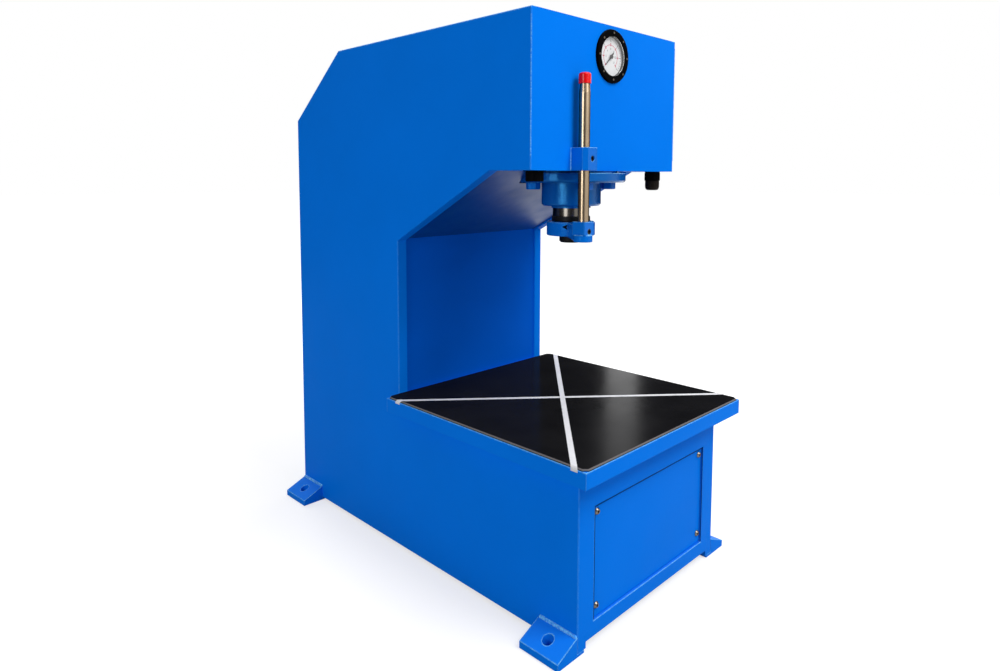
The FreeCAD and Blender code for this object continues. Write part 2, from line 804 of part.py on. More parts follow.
def build_gauge():
    centre = ("0", "arm_front", "gauge_height")
    case = turned("gauge_housing", [
        ("0", "0 - gauge_case_depth"),
        ("gauge_case_radius", "0 - gauge_case_depth"),
        ("gauge_case_radius", "0"),
        ("gauge_flange_radius", "0"),
        ("gauge_flange_radius", "gauge_rim_height"),
        ("gauge_flange_radius - gauge_rim_slope", "gauge_flange_front"),
        ("gauge_window_radius + gauge_rim_slope", "gauge_flange_front"),
        ("gauge_window_radius", "gauge_flange_front - gauge_lens_seat"),
        ("gauge_window_radius", "0 - gauge_dial_depth"),
        ("0", "0 - gauge_dial_depth"),
    ])
    place(case, centre, "front")
    sockets = [
        cylinder(f"gauge_socket_{index}", gauge_screw_spot(index, "arm_front"),
                 "gauge_screw_radius / 2 + gauge_running_play", "gauge_flange_front", "front")
        for index in range(GAUGE_SCREWS)
    ]
    keep(cut("gauge_housing_cut", case, sockets), "gauge_case")

    dial = cylinder("dial_disc", ("0", "arm_front + gauge_dial_depth", "gauge_height"),
                    "gauge_window_radius - gauge_running_play", "gauge_dial_thickness", "front")
    hole = cylinder("dial_hole", ("0", "arm_front + gauge_dial_depth", "gauge_height"),
                    "gauge_spindle_radius + gauge_running_play", "gauge_dial_thickness", "front")
    keep(cut("dial_cut", dial, [hole]), "gauge_dial")
    blade = extrude("pointer_blade", "XZ_Plane", [
        ("0 - pointer_tail", "0 - pointer_half_width"),
        ("0", "0 - pointer_half_width"),
        ("pointer_reach", "0 - pointer_tip_half_width"),
        ("pointer_reach", "pointer_tip_half_width"),
        ("0", "pointer_half_width"),
        ("0 - pointer_tail", "pointer_half_width"),
    ], "pointer_thickness")
    hub = cylinder("pointer_hub", ("0", "0", "0"), "pointer_hub_radius", "pointer_thickness", "front")
    # the spindle reaches back through the dial
    root = "pointer_lift + gauge_dial_thickness"
    spindle = cylinder("pointer_spindle", ("0", root, "0"), "gauge_spindle_radius",
                       f"{root} + pointer_thickness + gauge_spindle_front", "front")
    pointer = fuse("pointer_all", [blade, hub, spindle])
    lift = "arm_front + gauge_dial_depth - gauge_dial_thickness - pointer_lift"
    place(pointer, ("0", lift, "gauge_height"), spin=(Y_AXIS, POINTER_REST_ANGLE))
    keep(pointer, "gauge_pointer")

    keep(cylinder("lens", ("0", "arm_front - gauge_flange_front + gauge_lens_seat + gauge_lens_thickness",
                           "gauge_height"),
                  "gauge_window_radius - gauge_running_play", "gauge_lens_thickness", "front"), "gauge_lens")

    screws = []
    for index in range(GAUGE_SCREWS):
        head_y = "arm_front - gauge_flange_front"
        head = cylinder(f"gauge_head_{index}", gauge_screw_spot(index, head_y),
                        "gauge_screw_radius", "gauge_screw_proud", "front")
        shank = cylinder(f"gauge_shank_{index}", gauge_screw_spot(index, "arm_front"),
                         "gauge_screw_radius / 2", "gauge_flange_front", "front")
        screws.append(fuse(f"gauge_screw_{index}", [head, shank]))
    keep(group("gauge_screw_group", screws), "gauge_screws")

    keep(box("stem", ("0 - stem_width / 2", "arm_front + gauge_case_depth", "gauge_height - stem_width / 2"),
             ("stem_width", "stem_depth", "stem_width")), "gauge_stem")


# ---------------------------------------------------------------------------
# Hydraulic cylinder
# ---------------------------------------------------------------------------
def bolt_spot(index):
    across, along = around(index, CYLINDER_BOLTS, "bolt_circle_radius", "bolt_first_angle")
    return across, f"ram_y + {along}"


def build_cylinder():
    axis = ("0", "ram_y", "0")
    body = turned("cylinder", [
        ("bore_radius", "barrel_top"),
        ("bore_radius", "mouth_top"),
        ("mouth_radius", "mouth_top"),
        ("mouth_radius", "boss_bottom"),
        ("barrel_radius - cylinder_chamfer", "boss_bottom"),
        ("barrel_radius", "boss_bottom + cylinder_chamfer"),
        ("barrel_radius", "flange_bottom"),
        ("flange_radius - cylinder_chamfer", "flange_bottom"),
        ("flange_radius", "flange_bottom + cylinder_chamfer"),
        ("flange_radius", "flange_bottom + flange_thickness"),
        ("register_radius", "flange_bottom + flange_thickness"),
        ("register_radius", "arm_underside"),
        ("barrel_radius", "arm_underside"),
        ("barrel_radius", "barrel_top"),
    ])
    place(body, axis)
    holes = [
        cylinder(f"flange_hole_{index}", (*bolt_spot(index), "flange_bottom"),
                 "bolt_shank_radius + screw_clearance", "flange_thickness + register_height")
        for index in range(CYLINDER_BOLTS)
    ]
    keep(cut("cylinder_cut", body, holes), "cylinder_body")

    keep(place(turned("cap", [
        ("0", "barrel_top + end_gap"),
        ("bore_radius", "barrel_top + end_gap"),
        ("bore_radius", "barrel_top"),
        ("barrel_radius", "barrel_top"),
        ("barrel_radius", "cap_top - cylinder_chamfer"),
        ("barrel_radius - cylinder_chamfer", "cap_top"),
        ("0", "cap_top"),
    ]), axis), "cylinder_cap")

    bolts = []
    for index in range(CYLINDER_BOLTS):
        head = hexagon(f"bolt_head_{index}", (*bolt_spot(index), "flange_bottom - bolt_head_height"),
                       "bolt_head_radius", "bolt_head_height")
        round_off = turned(f"bolt_round_{index}", [
            ("0", "0"),
            ("bolt_face_radius", "0"),
            ("bolt_head_radius", "bolt_face_chamfer"),
            ("bolt_head_radius", "bolt_head_height"),
            ("0", "bolt_head_height"),
        ])
        place(round_off, (*bolt_spot(index), "flange_bottom - bolt_head_height"))
        trimmed = doc.addObject("Part::Common", f"bolt_trim_{index}")
        trimmed.Base = head
        trimmed.Tool = round_off
        shank = cylinder(f"bolt_shank_{index}", (*bolt_spot(index), "flange_bottom"),
                         "bolt_shank_radius", "bolt_shank_length")
        bolts.append(fuse(f"bolt_{index}", [trimmed, shank]))
    keep(group("bolt_group", bolts), "cylinder_bolts")

    inside = "ram_radius + running_play"
    keep(place(turned("gland", [
        ("gland_nose_radius", "boss_bottom - gland_nose"),
        ("gland_nose_radius", "boss_bottom"),
        ("mouth_radius - fit_play", "boss_bottom"),
        ("mouth_radius - fit_play", "mouth_top"),
        (inside, "mouth_top"),
        (inside, "boss_bottom + 2 * wiper_width"),
        (f"{inside} + wiper_depth", "boss_bottom + 2 * wiper_width"),
        (f"{inside} + wiper_depth", "boss_bottom + wiper_width"),
        (inside, "boss_bottom + wiper_width"),
        (inside, "boss_bottom - gland_nose"),
    ]), axis), "rod_gland")
    keep(place(turned("wiper", [
        (inside, "boss_bottom + wiper_width"),
        (f"{inside} + wiper_depth - fit_play", "boss_bottom + wiper_width"),
        (f"{inside} + wiper_depth - fit_play", "boss_bottom + 2 * wiper_width"),
        (inside, "boss_bottom + 2 * wiper_width"),
    ]), axis), "wiper_seal")


def build_ram():
    axis = ("0", "ram_y", "0")
    skirt = "bore_radius - running_play"
    groove = f"{skirt} - piston_groove_depth"
    middle = "piston_bottom + piston_groove_rise"
    socket = "piston_top - piston_nut_height"
    keep(place(turned("piston_ring", [
        ("piston_spigot_radius + fit_play", "piston_bottom"),
        (skirt, "piston_bottom"),
        (skirt, f"{middle} - piston_groove_width / 2"),
        (groove, f"{middle} - piston_groove_width / 2"),
        (groove, f"{middle} + piston_groove_width / 2"),
        (skirt, f"{middle} + piston_groove_width / 2"),
        (skirt, socket),
        ("piston_spigot_radius + fit_play", socket),
    ]), axis), "piston")
    keep(place(turned("piston_packing", [
        (f"{groove} + fit_play", f"{middle} - piston_groove_width / 2 + fit_play"),
        (skirt, f"{middle} - piston_groove_width / 2 + fit_play"),
        (skirt, f"{middle} + piston_groove_width / 2 - fit_play"),
        (f"{groove} + fit_play", f"{middle} + piston_groove_width / 2 - fit_play"),
    ]), axis), "piston_seal")
    nut = hexagon("piston_nut_blank", ("0", "ram_y", socket), "piston_nut_radius", "piston_nut_height")
    thread = cylinder("piston_nut_hole", ("0", "ram_y", socket),
                      "piston_spigot_radius + fit_play", "piston_nut_height")
    keep(cut("piston_nut_cut", nut, [thread]), "piston_nut")

    keep(place(turned("ram", [
        ("0", "piston_top"),
        ("piston_spigot_radius", "piston_top"),
        ("piston_spigot_radius", "piston_bottom"),
        ("ram_radius", "piston_bottom"),
        ("ram_radius", "shoulder_height"),
        ("spigot_radius", "shoulder_height"),
        ("spigot_radius", "collar_bottom"),
        ("nose_shank_radius + fit_play", "collar_bottom"),
        ("nose_shank_radius + fit_play", "collar_bottom + nose_shank_length"),
        ("0", "collar_bottom + nose_shank_length"),
    ]), axis), "ram_rod")
    keep(place(turned("nose", [
        ("0", "nose_bottom"),
        ("nose_radius - 2 * edge_break", "nose_bottom"),
        ("nose_radius", "nose_bottom + 2 * edge_break"),
        ("nose_radius", "collar_bottom"),
        ("nose_shank_radius", "collar_bottom"),
        ("nose_shank_radius", "collar_bottom + nose_shank_length"),
        ("0", "collar_bottom + nose_shank_length"),
    ]), axis), "press_nose")

    ring_bottom = "shoulder_height - lock_ring_height"
    keep(place(turned("ring", [
        ("spigot_radius + fit_play", ring_bottom),
        ("lock_ring_radius - edge_break", ring_bottom),
        ("lock_ring_radius", f"{ring_bottom} + edge_break"),
        ("lock_ring_radius", "shoulder_height - edge_break"),
        ("lock_ring_radius - edge_break", "shoulder_height"),
        ("spigot_radius + fit_play", "shoulder_height"),
    ]), axis), "lock_ring")


# ---------------------------------------------------------------------------
# Clamp collar, guide rod and bracket
# ---------------------------------------------------------------------------
def toward_rod(item, z_rule):
    """Put an item drawn along +X at the ram's axis and swing it to point at the guide rod."""
    place(item, ("0", "ram_y", z_rule), "across")
    bind(item, "Placement.Rotation.Angle", f"{HALF_TURN} deg + atan((ram_y - rod_y) / rod_offset)")
    return item


def build_collar():
    ring = turned("collar_ring", [
        ("0", "0"),
        ("collar_radius - edge_break", "0"),
        ("collar_radius", "edge_break"),
        ("collar_radius", "collar_height - edge_break"),
        ("collar_radius - edge_break", "collar_height"),
        ("0", "collar_height"),
    ])
    place(ring, ("0", "ram_y", "collar_bottom"))
    arm = extrude("collar_arm", "XY_Plane", [
        ("0", "0 - arm_width / 2"),
        ("rod_distance", "0 - arm_width / 2"),
        ("rod_distance", "arm_width / 2"),
        ("0", "arm_width / 2"),
    ], "collar_height")
    toward_rod(arm, "collar_bottom")
    side = "holder_half_width"
    holder = extrude("collar_holder", "XY_Plane", [
        (f"0 - {side}", f"edge_break - {side}"),
        (f"edge_break - {side}", f"0 - {side}"),
        (f"{side} - edge_break", f"0 - {side}"),
        (side, f"edge_break - {side}"),
        (side, side),
        (f"0 - {side}", side),
    ], "holder_top - holder_bottom")
    place(holder, ("rod_x", "rod_y", "holder_bottom"))
    boss = cylinder("collar_boss", ("rod_x", "rod_y", "collar_bottom"),
                    "holder_boss_radius", "holder_bottom - collar_bottom")
    blank = fuse("collar_blank", [ring, arm, holder, boss])

    bore = cylinder("collar_bore", ("0", "ram_y", "collar_bottom"),
                    "spigot_radius + fit_play", "collar_height")
    rod_bore = cylinder("collar_rod_bore", ("rod_x", "rod_y", "collar_bottom"),
                        "rod_radius + fit_play", "holder_top - collar_bottom")
    slit = extrude("collar_slit", "XY_Plane", [
        ("0", "0 - slit_width / 2"),
        ("slit_reach", "0 - slit_width / 2"),
        ("slit_reach", "slit_width / 2"),
        ("0", "slit_width / 2"),
    ], "collar_height")
    toward_rod(slit, "collar_bottom")
    screw_hole = clamp_bar("collar_screw_hole", "clamp_screw_radius + screw_clearance", "arm_width * 2")
    key_hole = cylinder("collar_key_hole", ("rod_x", "rod_y", "holder_screw_height"),
                        "set_screw_radius", f"{side}", "front")
    keep(cut("collar_cut", blank, [bore, rod_bore, slit, screw_hole, key_hole]), "clamp_collar")
    keep(clamp_bar("clamp_bolt", "clamp_screw_radius", "arm_width"), "clamp_screw")
    screw_length = f"{side} - rod_radius - 2 * fit_play"
    keep(set_screw("holder_screw", ("rod_x", "rod_y - rod_radius - fit_play", "holder_screw_height"),
                   screw_length), "collar_set_screw")


def clamp_bar(name, radius, length):
    """A round bar across the collar's arm, drawn lying along Y."""
    body = new_body(name)
    sketch = new_sketch(body, "XZ_Plane")
    circle = Part.Circle(FreeCAD.Vector(number("clamp_screw_reach"), number("clamp_screw_height"), 0),
                         Z_AXIS, number(radius))
    index = sketch.addGeometry(circle, False)
    rules = (("DistanceX", "clamp_screw_reach"), ("DistanceY", "clamp_screw_height"))
    for kind, rule in rules:
        spot = sketch.addConstraint(Sketcher.Constraint(kind, index, 3, number(rule)))
        bind(sketch, f"Constraints[{spot}]", rule)
    size = sketch.addConstraint(Sketcher.Constraint("Radius", index, number(radius)))
    bind(sketch, f"Constraints[{size}]", radius)
    pad = body.newObject("PartDesign::Pad", f"{name}_pad")
    pad.Profile = sketch
    pad.Midplane = True
    bind(pad, "Length", length)
    doc.recompute()
    return toward_rod(body, "collar_bottom")


def build_guide():
    keep(place(turned("guide", [
        ("0", "collar_bottom"),
        ("rod_radius - edge_break", "collar_bottom"),
        ("rod_radius", "collar_bottom + edge_break"),
        ("rod_radius", "cap_bottom - rod_taper"),
        ("rod_neck_radius", "cap_bottom"),
        ("rod_spigot_radius", "cap_bottom"),
        ("rod_spigot_radius", "rod_top"),
        ("0", "rod_top"),
    ]), ("rod_x", "rod_y", "0")), "guide_rod")
    keep(place(turned("rod_top_cap", [
        ("rod_spigot_radius + fit_play", "cap_bottom"),
        ("cap_radius", "cap_bottom"),
        ("cap_radius", "rod_top"),
        ("cap_radius - cap_round", "rod_top + cap_crown - cap_round"),
        ("cap_radius - cap_crown", "rod_top + cap_crown"),
        ("0", "rod_top + cap_crown"),
        ("0", "rod_top"),
        ("rod_spigot_radius + fit_play", "rod_top"),
    ]), ("rod_x", "rod_y", "0")), "rod_cap")

    side = "bracket_half_width"
    blank = extrude("bracket_block", "XY_Plane", [
        (f"0 - {side}", "rod_standoff"),
        (f"0 - {side}", "bracket_bevel - rod_standoff"),
        (f"bracket_bevel - {side}", "0 - rod_standoff"),
        (f"{side} - edge_break", "0 - rod_standoff"),
        (side, "edge_break - rod_standoff"),
        (side, "rod_standoff"),
    ], "bracket_height")
    place(blank, ("rod_x", "rod_y", "arm_underside"))
    bore = cylinder("bracket_bore", ("rod_x", "rod_y", "arm_underside"),
                    "bush_radius + fit_play", "bracket_height")
    # the set screw sits in the middle of the bracket's front face
    screw_x = "rod_x + (bracket_bevel - edge_break) / 2"
    screw_hole = cylinder("bracket_screw_hole", (screw_x, "rod_y", "arm_underside + bracket_screw_height"),
                          "set_screw_radius", "rod_standoff", "front")
    keep(cut("bracket_cut", blank, [bore, screw_hole]), "guide_bracket")
    keep(place(turned("bush", [
        ("rod_radius + running_play", "0"),
        ("bush_radius", "0"),
        ("bush_radius", "bracket_height"),
        ("rod_radius + running_play", "bracket_height"),
    ]), ("rod_x", "rod_y", "arm_underside")), "guide_bush")
    keep(set_screw("bush_screw", (screw_x, "rod_y - bush_radius", "arm_underside + bracket_screw_height"),
                   "rod_standoff - bush_radius - set_screw_sink"), "bracket_set_screw")


# ---------------------------------------------------------------------------
# Glands under the arm
# ---------------------------------------------------------------------------
def gland_shank(name, x_rule):
    return cylinder(name, (x_rule, "gland_y", "arm_underside"),
                    "gland_thread_radius", "bed_thickness + 2 * gland_nut_height")


def build_glands():
    spot_left = "0 - gland_offset"
    body = cylinder("gland_left_body", (spot_left, "gland_y", "arm_underside - gland_body_height"),
                    "gland_body_radius", "gland_body_height")
    rim = cylinder("gland_left_rim", (spot_left, "gland_y", "arm_underside - gland_collar_height"),
                   "gland_collar_radius", "gland_collar_height")
    keep(fuse("gland_left_all", [body, rim, gland_shank("gland_left_shank", spot_left)]), "gland_left")

    body = cylinder("gland_right_body", ("gland_offset", "gland_y", "arm_underside - gland_body_height"),
                    "gland_body_radius", "gland_body_height")
    keep(fuse("gland_right_all", [body, gland_shank("gland_right_shank", "gland_offset")]), "gland_right")
    keep(place(turned("dome", [
        ("0", "0"),
        ("gland_dome_radius - gland_dome_round", "0"),
        ("gland_dome_radius - gland_dome_ease", "gland_dome_ease"),
        ("gland_dome_radius", "gland_dome_round"),
        ("gland_dome_radius", "gland_dome_height"),
        ("0", "gland_dome_height"),
    ]), ("gland_offset", "gland_y", "arm_underside - gland_body_height - gland_dome_height")),
        "gland_right_nut")

    nuts = []
    for side, x_rule in (("left", spot_left), ("right", "gland_offset")):
        nut = hexagon(f"locknut_{side}", (x_rule, "gland_y", "bed_top"),
                      "gland_nut_radius", "gland_nut_height")
        hole = cylinder(f"locknut_hole_{side}", (x_rule, "gland_y", "bed_top"),
                        "gland_thread_radius + fit_play", "gland_nut_height")
        nuts.append(cut(f"locknut_{side}_cut", nut, [hole]))
    keep(group("locknut_group", nuts), "gland_locknuts")


# ---------------------------------------------------------------------------
# Power pack
# ---------------------------------------------------------------------------
def pipe(name, y_rule, z_rule, start_y, end_z):
    """A steel pipe that leaves a port to the rear, bends once and runs down."""
    run = cylinder(f"{name}_run", ("0", start_y, z_rule), "pipe_radius",
                   f"{y_rule} - pipe_bend - ({start_y})", "rear")
    drop = cylinder(f"{name}_drop", ("0", y_rule, end_z), "pipe_radius",
                    f"{z_rule} - pipe_bend - ({end_z})")
    bend = doc.addObject("Part::Torus", f"{name}_bend")
    bind(bend, "Radius1", "pipe_bend")
    bind(bend, "Radius2", "pipe_radius")
    bend.Angle3 = QUARTER_TURN
    # the torus lies in XY at first: two turns stand it up in the YZ plane
    stand = FreeCAD.Rotation(Z_AXIS, QUARTER_TURN).multiply(FreeCAD.Rotation(X_AXIS, QUARTER_TURN))
    place(bend, ("0", f"{y_rule} - pipe_bend", f"{z_rule} - pipe_bend"),
          spin=(stand.Axis, degrees(stand.Angle)))
    return fuse(f"{name}_all", [run, bend, drop])


def build_power_pack():
    rails = [
        box(f"rail_{side}",
            (f"{sign} (tank_width / 2 - rail_inset) - rail_width / 2", "tank_front", "floor_top"),
            ("rail_width", "tank_depth", "rail_height"))
        for side, sign in (("left", "0 -"), ("right", "0 +"))
    ]
    keep(group("rail_group", rails), "tank_rails")

    shell = box("tank_shell", ("0 - tank_width / 2", "tank_front", "tank_bottom"),
                ("tank_width", "tank_depth", "tank_height"))
    hollow = box("tank_hollow",
                 ("tank_wall - tank_width / 2", "tank_front + tank_wall", "tank_bottom + tank_wall"),
                 ("tank_width - 2 * tank_wall", "tank_depth - 2 * tank_wall", "tank_height - tank_wall"))
    keep(cut("tank_cut", shell, [hollow]), "oil_tank")
    keep(box("lid", ("0 - tank_width / 2", "tank_front", "tank_top"),
             ("tank_width", "tank_depth", "lid_thickness")), "tank_lid")
    keep(cylinder("pump_body", ("0", "motor_y", "tank_top - pump_length"),
                  "pump_radius", "pump_length"), "pump")
    keep(cylinder("motor_body", ("0", "motor_y", "lid_top"), "motor_radius", "motor_length"), "motor")
    keep(box("block", ("0 - block_width / 2", "block_front", "lid_top"),
             ("block_width", "block_depth", "block_height")), "valve_block")

    start = "ram_y + barrel_radius"
    keep(pipe("pressure", "pipe_rear_y", "upper_port", start, "block_top"), "pressure_pipe")
    keep(pipe("return", "pipe_front_y", "lower_port", start, "block_top"), "return_pipe")
    stem_y = "arm_front + gauge_case_depth + stem_depth / 2"
    keep(cylinder("gauge_line", ("0", stem_y, "cap_top"), "gauge_pipe_radius",
                  "gauge_height - stem_width / 2 - cap_top"), "gauge_pipe")


# ---------------------------------------------------------------------------
# Build, check and write
# ---------------------------------------------------------------------------
def check(item):
    problems = [state for state in item.State if state in ("Invalid", "Error")]
    if problems:
        raise RuntimeError(f"{item.Label} is {problems}")


def write_parts():
    os.makedirs("parts", exist_ok=True)
    for item in parts:
        shape = item.Shape
        if shape.isNull() or not shape.isValid() or shape.Volume <= 0:
            raise RuntimeError(f"{item.Label} has no valid solid")
    for item in parts:
        item.Shape.exportStep(f"parts/{item.Label}.step")
        box_size = item.Shape.BoundBox
        print(f"{item.Label:22s} solids {len(item.Shape.Solids)} volume {item.Shape.Volume / 1000:9.1f} cm3"
              f"  x {box_size.XMin:7.1f} {box_size.XMax:7.1f}  y {box_size.YMin:7.1f} {box_size.YMax:7.1f}"
              f"  z {box_size.ZMin:6.1f} {box_size.ZMax:6.1f}")
    print(f"{len(parts)} sub-parts")


fill_sheet()
build_side_plates()
build_throat()
build_arm()
build_rear()
build_base()
build_feet()
build_table()
build_covers()
build_gauge()
build_cylinder()
build_ram()
build_collar()
build_guide()
build_glands()
build_power_pack()
doc.recompute()
for item in doc.Objects:
    check(item)
write_parts()
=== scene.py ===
"""Finishes, small details, light and camera for a bench-top C-frame hydraulic press.

Everything is in metres in the machine's own frame: +Z up, the throat opens to -Y and +X is
the operator's right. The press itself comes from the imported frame.
"""

from contextlib import contextmanager
from math import cos, pi, radians, sin, tan

import bmesh
import bpy
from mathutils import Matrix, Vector


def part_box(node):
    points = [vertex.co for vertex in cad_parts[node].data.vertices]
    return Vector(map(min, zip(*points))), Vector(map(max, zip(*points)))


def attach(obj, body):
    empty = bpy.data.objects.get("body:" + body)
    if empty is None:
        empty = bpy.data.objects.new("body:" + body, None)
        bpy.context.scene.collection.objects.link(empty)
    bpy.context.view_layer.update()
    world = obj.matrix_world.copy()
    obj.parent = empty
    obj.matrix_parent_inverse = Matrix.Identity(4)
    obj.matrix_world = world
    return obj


bl_info = {
    "name": "Hydraulic Press Dressing",
    "version": (1, 0, 0),
    "blender": (4, 5, 0),
    "location": "View3D > Sidebar > Press",
    "description": "Paint, metal finishes, weld beads, table strips and gauge scale for a C-frame press",
    "category": "Object",
}

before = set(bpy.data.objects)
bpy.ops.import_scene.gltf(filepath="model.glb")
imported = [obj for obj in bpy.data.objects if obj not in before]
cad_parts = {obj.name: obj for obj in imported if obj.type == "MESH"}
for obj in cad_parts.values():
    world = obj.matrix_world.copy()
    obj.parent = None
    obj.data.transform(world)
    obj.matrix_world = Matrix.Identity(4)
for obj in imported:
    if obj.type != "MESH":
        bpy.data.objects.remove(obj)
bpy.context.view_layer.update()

FEET = ("foot_front_left", "foot_front_right", "foot_rear_left", "foot_rear_right")

# Each finish, and the machine's own nodes that wear it.
FRAME_FINISHES = {
    "welded_enamel": ("side_plate_left", "side_plate_right", "base_front_plate"),
    "flush_enamel": ("arm_bottom_plate", "arm_front_plate", "arm_top_plate", "rear_slope_plate",
                     "rear_plate", "base_floor_plate"),
    # The throat and slope plates keep less of the blue: painted shade under the arm.
    "throat_shade_enamel": ("throat_plate",),
    "slope_shade_enamel": ("throat_slope_plate",),
    "enamel": (*FEET, "table_plate", "access_panel", "rear_cover"),
    "head_enamel": ("clamp_collar", "guide_bracket", "clamp_screw", "cylinder_bolts"),
    # The cylinder's deeper blue is painted shade under the arm.
    "cylinder_shade_enamel": ("cylinder_body", "cylinder_cap", "rod_gland"),
}
METAL_FINISHES = {
    "blackened": ("lock_ring", "press_nose", "bracket_set_screw", "collar_set_screw"),
    "screw": ("access_panel_screws", "rear_cover_screws", "gauge_screws"),
    "rod": ("guide_rod",),
    "chrome": ("ram_rod",),
    "bronze": ("guide_bush", "gauge_stem", "gauge_pipe"),
    "rubber": ("wiper_seal", "piston_seal"),
    "cast": ("piston", "piston_nut", "pump", "motor", "valve_block", "oil_tank", "tank_lid",
             "tank_rails"),
    "pipe": ("pressure_pipe", "return_pipe"),
}
TRIM_FINISHES = {
    "sheet": ("table_sheet",),
    "strip": ("centre_strips",),
    "cap": ("rod_cap",),
    "gland": ("gland_left", "gland_right", "gland_locknuts"),
    "gland_tip": ("gland_right_nut",),
    "case": ("gauge_case", "gauge_pointer"),
    "lens": ("gauge_lens",),
    "dial": ("gauge_dial",),
}


# Settings
class PressColours(bpy.types.PropertyGroup):
    """The machine's colours, in linear light."""

    frame_blue: bpy.props.FloatVectorProperty(
        name="Frame blue", description="Enamel on the welded frame and the head",
        subtype="COLOR", size=3, min=0, max=1, default=(0.001, 0.195, 0.87))
    # Painted highlight on the edges that face up, over enamel drawn thin there.
    edge_highlight_blue: bpy.props.FloatVectorProperty(
        name="Edge highlight blue", description="Lighter blue where the enamel draws thin over an edge",
        subtype="COLOR", size=3, min=0, max=1, default=(0.3, 0.78, 1.0))
    sheet_black: bpy.props.FloatVectorProperty(
        name="Sheet black", description="Gloss sheet on the work table",
        subtype="COLOR", size=3, min=0, max=1, default=(0.004, 0.004, 0.005))
    strip_white: bpy.props.FloatVectorProperty(
        name="Strip white", description="Marking strips that cross on the table",
        subtype="COLOR", size=3, min=0, max=1, default=(0.74, 0.74, 0.76))
    cap_red: bpy.props.FloatVectorProperty(
        name="Cap red", description="Moulded cap on the guide rod",
        subtype="COLOR", size=3, min=0, max=1, default=(0.84, 0.003, 0.005))
    rod_steel: bpy.props.FloatVectorProperty(
        name="Rod steel", description="Warm ground steel of the guide rod",
        subtype="COLOR", size=3, min=0, max=1, default=(0.36, 0.275, 0.185))
    scale_red: bpy.props.FloatVectorProperty(
        name="Scale red", description="Inner scale on the gauge dial",
        subtype="COLOR", size=3, min=0, max=1, default=(0.5, 0.015, 0.07))


class PressSizes(bpy.types.PropertyGroup):
    """Sizes of the details that are laid over the machine."""

    bead_radius: bpy.props.FloatProperty(
        name="Bead radius", description="Half the width of the weld beads on the feet",
        unit="LENGTH", min=0.0005, default=0.0036)
    bead_pitch: bpy.props.FloatProperty(
        name="Bead pitch", description="Distance between two ripples of a weld bead",
        unit="LENGTH", min=0.0005, default=0.0030)
    small_bead_radius: bpy.props.FloatProperty(
        name="Small bead radius", description="Half the width of the weld beads on the guide bracket",
        unit="LENGTH", min=0.0003, default=0.0013)
    strip_width: bpy.props.FloatProperty(
        name="Strip width", description="Width of the table's marking strips",
        unit="LENGTH", min=0.001, default=0.009)
    strip_thickness: bpy.props.FloatProperty(
        name="Strip thickness", description="Thickness of the strip's folded ends",
        unit="LENGTH", min=0.0001, default=0.0004)
    strip_drop: bpy.props.FloatProperty(
        name="Strip drop", description="How far a folded strip end hangs down over the table's rim",
        unit="LENGTH", min=0.0005, default=0.0032)
    edge_bead_radius: bpy.props.FloatProperty(
        name="Edge bead radius", description="Half the width of the fine seam up the arm's front edge",
        unit="LENGTH", min=0.0003, default=0.0011)
    # The panel's gap shade is painted shadow: a thin dark strip where the gap lies in shade.
    gap_shade_width: bpy.props.FloatProperty(
        name="Gap shade width", description="Width of the dark seal along the access panel",
        unit="LENGTH", min=0.0002, default=0.0009)
    print_thickness: bpy.props.FloatProperty(
        name="Print thickness", description="Thickness of the print on the gauge dial",
        unit="LENGTH", min=0.00001, default=0.00012)
    dial_major: bpy.props.IntProperty(
        name="Main marks", description="Numbered divisions of the gauge's scale", min=2, default=6)
    dial_minor: bpy.props.IntProperty(
        name="Fine marks", description="Fine divisions within each numbered one", min=1, default=5)
    dial_step: bpy.props.IntProperty(
        name="Number step", description="Step between two numbers on the gauge's scale",
        min=1, default=2)
    dial_sweep: bpy.props.FloatProperty(
        name="Dial sweep", description="Angle that the gauge's scale covers",
        subtype="ANGLE", default=radians(270))


def colours():
    return bpy.context.scene.press_colours


def sizes():
    return bpy.context.scene.press_sizes


# Modelling helpers
MERGE_DISTANCE = 0.000001
SAME_PLACE = 1e-7
LOOKS_UP = 0.9


def middle(node):
    low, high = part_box(node)
    return (low + high) / 2


def corners_of(node):
    return [vertex.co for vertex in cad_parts[node].data.vertices]


def deselect():
    bpy.ops.object.select_all(action="DESELECT")


def activate(piece):
    deselect()
    piece.select_set(True)
    bpy.context.view_layer.objects.active = piece


def new_plane():
    """A level square of one metre at the origin, with nothing else selected."""
    deselect()
    bpy.ops.mesh.primitive_plane_add(size=1.0)
    return bpy.context.object


def new_cylinder(vertices, radius, length):
    """An upright cylinder at the origin, with nothing else selected."""
    deselect()
    bpy.ops.mesh.primitive_cylinder_add(vertices=vertices, radius=radius, depth=length)
    return bpy.context.object


def stand(piece, place=(0.0, 0.0, 0.0), turn=(0.0, 0.0, 0.0), size=(1.0, 1.0, 1.0)):
    """Scale, turn and move a piece, and put that into its mesh."""
    piece.scale = size
    piece.rotation_euler = turn
    piece.location = place
    activate(piece)
    bpy.ops.object.transform_apply(location=True, rotation=True, scale=True)
    return piece


@contextmanager
def editing(piece, kind="VERT", action="SELECT"):
    """Edit mode on one piece, with all of it or none of it selected."""
    activate(piece)
    bpy.ops.object.mode_set(mode="EDIT")
    bpy.ops.mesh.select_mode(type=kind)
    bpy.ops.mesh.select_all(action=action)
    yield
    bpy.ops.object.mode_set(mode="OBJECT")


def select_faces(piece, wanted):
    """In edit mode, select the faces that pass a test."""
    shape = bmesh.from_edit_mesh(piece.data)
    for face in shape.faces:
        face.select = wanted(face)
    bmesh.update_edit_mesh(piece.data)


def faces_up(face):
    return face.normal.z > LOOKS_UP


def select_edge(piece, across):
    """In edit mode, select the edge that lies furthest out on this side, and nothing else."""
    bpy.ops.mesh.select_all(action="DESELECT")
    shape = bmesh.from_edit_mesh(piece.data)
    reach = max(vertex.co.x * across for vertex in shape.verts)
    for edge in shape.edges:
        edge.select = all(abs(vertex.co.x * across - reach) < SAME_PLACE for vertex in edge.verts)
    bmesh.update_edit_mesh(piece.data)


